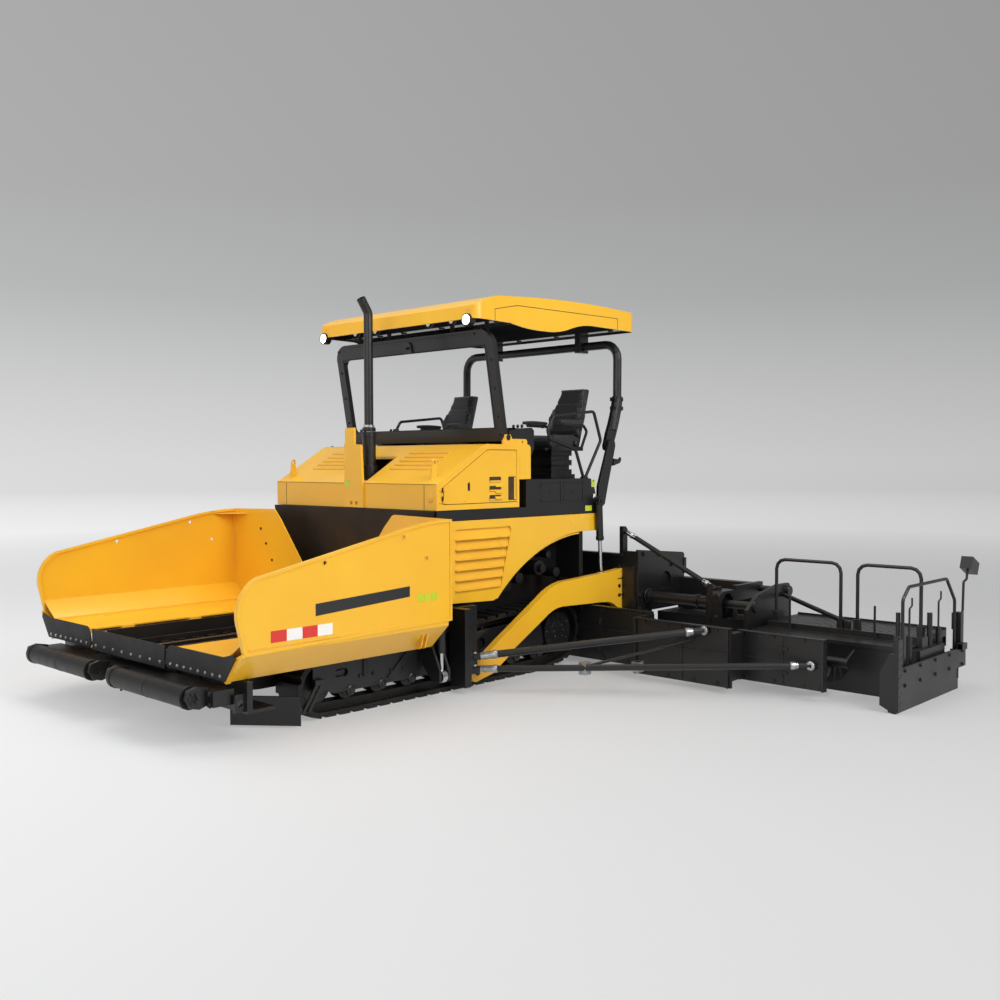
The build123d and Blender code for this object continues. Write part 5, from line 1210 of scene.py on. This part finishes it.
class PAVER_OT_platform(bpy.types.Operator):
    """Latches, handles, blank plates and bolts of the platform's sides"""
    bl_idname = "paver.platform"
    bl_label = "Platform"

    def execute(self, context):
        latches, plates, white = blanks(3)
        for y in (925, 1295):
            prism(latches, rounded(y - 10, y + 10, 1838, 1870, 5), "x", HOOD_SIDE - 4, HOOD_SIDE + 1)
        for y in (775, 1145):
            for z in (1775, 1915):
                rod(latches, (HOOD_SIDE - 2, y, z - 18), (HOOD_SIDE - 2, y, z + 18), 6, 10)
        both_sides("cabinet_latch", latches, "nylon", "machine", bevel=1.0)
        prism(plates, rounded(1606, 1664, 1890, 1968, 6), "x", HOOD_SIDE, HOOD_SIDE + 1.5)
        prism(plates, rounded(1500, 1612, 1632, 1690, 5), "x", HOOD_SIDE, HOOD_SIDE + 1.2)
        both_sides("blank_lime_plate", plates, "lime_sheeting", "machine")
        prism(white, rounded(1640, 1678, 1735, 1815, 5), "x", HOOD_SIDE, HOOD_SIDE + 1.2)
        both_sides("blank_white_plate", white, "white_sheeting", "machine")
        side = [(HOOD_SIDE, y, z) for y in (600, 740, 1110, 1480, 1640) for z in (1730, 1960)]
        buttons("platform_side_bolt", facing(OUT, side), "machine", 0.02, 0.007, "bolt_steel")
        return {"FINISHED"}


class PAVER_OT_auger_channel(bpy.types.Operator):
    """Clevises, locknuts and clamps of the channel struts, hinges and bolts of the channel plates"""
    bl_idname = "paver.auger_channel"
    bl_label = "Auger channel"

    def execute(self, context):
        zinc, hinge = blanks(2)
        for a, b, radius in STRUTS:
            way = (b - a).normalized()
            turned(zinc, a + way * 50, way, [(0, radius - 8), (20, radius + 3), (130, radius + 3),
                                             (140, radius + 8),
                                             (170, radius + 8), (176, radius)], 20)
            turned(zinc, b - way * 60, -way, [(0, radius - 12), (60, radius - 4), (110, radius + 3),
                                              (120, radius + 8), (150, radius + 8), (156, radius)], 20)
            ring(zinc, b - way * 22 - Vector((0, 46, 0)), (0, 1, 0), 42, 17, 26, 28)
            turned(zinc, a + Vector((20, -4, radius)), UP, [(0, 17), (12, 17), (16, 12)], 16)
        # two clamps along the lower strut, each with its place and half height
        for place, tall in ((Vector((2310, 200, 253)), 62), (Vector((2670, 528, 268)), 52)):
            turned(zinc, place - way * 34, way, [(0, 36), (3, 40), (65, 40), (68, 36)], 20)
            box(zinc, place.x - 38, place.x + 38, place.y - 44, place.y + 44, place.z - tall,
                place.z + tall - 10)
        both_sides("strut_clevis", zinc, "zinc", "machine")

        # pin hinges between the plates: X, Y, low ends and length
        for x, y, ends, tall in ((2212, 1392, (150, 330, 510), 70), (3262, 1365, (180, 420), 80)):
            for z in ends:
                rod(hinge, (x, y, z), (x, y, z + tall), 13, 12, 2)
        # stiffeners on the plates, with two strap hinges each: X, Y, low and high end
        for x, y, low, high in ((1560, 1400, 62, 640), (2752, 1120, 57, 615), (3680, 1375, 102, 572)):
            box(hinge, x - 22, x + 22, y - 7, y, low + 14, high - 14)
            for share in (0.25, 0.72):
                z = low + (high - low) * share
                rod(hinge, (x, y - 12, z - 34), (x, y - 12, z + 34), 12, 12, 2)
                box(hinge, x - 60, x + 60, y - 10, y, z - 16, z + 16)
        both_sides("channel_hinge", hinge, "charcoal", "machine")
        plates = [(x, y, z) for columns, y, rows in (((1000, 1300, 1600, 1900, 2100), 1399, (95, 600)),
                                                     ((2330, 2600, 2900, 3150), 1119, (90, 585)),
                                                     ((3330, 3600, 3900, 4060), 1374, (130, 545)))
                  for x in columns for z in rows]
        bolts("channel_plate_bolt", facing(AHEAD, plates), "machine", "m16", 0.010)
        return {"FINISHED"}


class PAVER_OT_screed(bpy.types.Operator):
    """Bolts of screed and tow arms, rings of the guide tubes and locknuts of the stays"""
    bl_idname = "paver.screed"
    bl_label = "Screed"

    def execute(self, context):
        rings, nuts = blanks(2)
        side = [(1640, y, z) for y, z in ((1990, 560), (1990, 700), (2060, 1150), (2800, 560), (2600, 1000),
                                          (2350, 1130))]
        front = [(x, 1945, z) for x in (1390, 1575) for z in (580, 790, 1000)]
        front += [(x, 1960, z) for x in (2530, 2620) for z in (560, 780)]
        bolts("screed_bolt", facing(OUT, side) + facing(AHEAD, front), "screed_unit", "m20", 0.014)
        arm_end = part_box("tow_arms")[1][1] / MM
        bolts("tow_arm_bolt", facing(OUT, [(TOW_ARM_SIDE, arm_end - 60, z) for z in (700, 800)]),
              "screed_unit",
              "m16", 0.012)
        turned(rings, (2285, 2140, 685), OUT, [(0, 66), (4, 72), (22, 72), (26, 66)], 32)
        turned(rings, (1646, 2140, 685), OUT, [(0, 86), (14, 86), (18, 80), (18, 58)], 32)
        both_sides("guide_tube_rings", rings, "charcoal", "screed_unit")
        a, b = Vector((1425, 1990, 1405)), Vector((2530, 2105, 830))
        way = (b - a).normalized()
        for start, heading in ((a + way * 50, way), (b - way * 50, -way)):
            turned(nuts, start, heading, [(0, 29), (50, 29), (54, 36), (82, 36), (86, 29), (120, 29)], 6)
        both_sides("stay_locknut", nuts, "zinc", "screed_unit")
        return {"FINISHED"}


class PAVER_OT_end_gate(bpy.types.Operator):
    """Bolts of the end gates, blank screen and keys of their handsets"""
    bl_idname = "paver.end_gate"
    bl_label = "End gates"

    def execute(self, context):
        gate = [(GATE_SIDE, y, z) for y in (1560, 1900, 2240, 2580, 2900) for z in (225, 355)]
        bolts("end_gate_bolt", facing(OUT, gate), "extension", "m16", 0.011)
        glass, keys = blanks(2)
        tilt = Matrix.Rotation(radians(-24), 3, "X")

        def on_handset(x, y, z):
            return Vector((4730, 3125, 1150)) + tilt @ Vector((x, y, z))
        skin(glass, [[on_handset(x, y, z) for x, y in ((-34, -20), (34, -20), (34, 40), (-34, 40))]
                     for z in (59, 62)])
        for x in (-28, 0, 28):
            for y in (-75, -48):
                turned(keys, on_handset(x, y, 59), tilt @ Vector(UP), [(0, 9), (4, 9), (6, 7)], 12)
        both_sides("handset_screen", glass, "screen", "extension")
        both_sides("handset_keys", keys, "nylon", "extension")
        return {"FINISHED"}


class PAVER_OT_cylinders(bpy.types.Operator):
    """Gland and wiper rings at the lower end of the lift cylinders"""
    bl_idname = "paver.cylinders"
    bl_label = "Cylinders"

    def execute(self, context):
        gland = bmesh.new()
        eye, low = Vector((1315, 1680, 1740)), Vector((1315, 1720, 900))
        way = (low - eye).normalized()
        end = eye + way * ((eye.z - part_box("lift_barrel_left")[0][2] / MM) / -way.z)
        # each ring's place along the way from the barrel's end, outer and inner radius, and thickness
        for along, outer, inner, thick in ((-40, 45, 40.5, 34), (0, 36, 23.5, 3), (3, 30, 23.5, 3)):
            ring(gland, end + way * along, way, outer, inner, thick, 28)
        both_sides("lift_gland", gland, "bolt_steel", "lift_barrel")
        return {"FINISHED"}


class PAVER_PT_panel(bpy.types.Panel):
    """Shows the paver's settings and a button for each step of its dressing"""
    bl_idname = "PAVER_PT_panel"
    bl_label = "Asphalt paver"
    bl_space_type = "VIEW_3D"
    bl_region_type = "UI"
    bl_category = "Paver"

    def draw(self, context):
        for name in GROUPS:
            group = getattr(context.scene, name)
            for key in group.__annotations__:
                self.layout.prop(group, key)
        for step in STEPS:
            self.layout.operator(step.bl_idname)


STEPS = (PAVER_OT_stage, PAVER_OT_finishes, PAVER_OT_hopper_marks, PAVER_OT_hopper_flaps,
         PAVER_OT_hopper_bolts,
         PAVER_OT_tracks, PAVER_OT_hood, PAVER_OT_side_slats, PAVER_OT_roof, PAVER_OT_front_frame,
         PAVER_OT_seats, PAVER_OT_controls, PAVER_OT_treads, PAVER_OT_platform, PAVER_OT_auger_channel,
         PAVER_OT_screed, PAVER_OT_end_gate, PAVER_OT_cylinders)
GROUPS = {"paver_colours": PaverColours, "paver_stage": PaverStage, "paver_fasteners": PaverFasteners,
          "paver_seats": PaverSeats}
TREES = {}


def register():
    for cls in (*GROUPS.values(), *STEPS, PAVER_PT_panel):
        bpy.utils.register_class(cls)
    for name, group in GROUPS.items():
        setattr(bpy.types.Scene, name, bpy.props.PointerProperty(type=group))


def unregister():
    for name in GROUPS:
        delattr(bpy.types.Scene, name)
    for cls in reversed((*GROUPS.values(), *STEPS, PAVER_PT_panel)):
        bpy.utils.unregister_class(cls)


def main():
    register()
    for build in (hex_bolts, button_heads, tread_bars):
        TREES[build.__name__] = build()
    for step in STEPS:
        getattr(bpy.ops.paver, step.bl_idname.split(".")[1])()


if __name__ == "__main__":
    main()
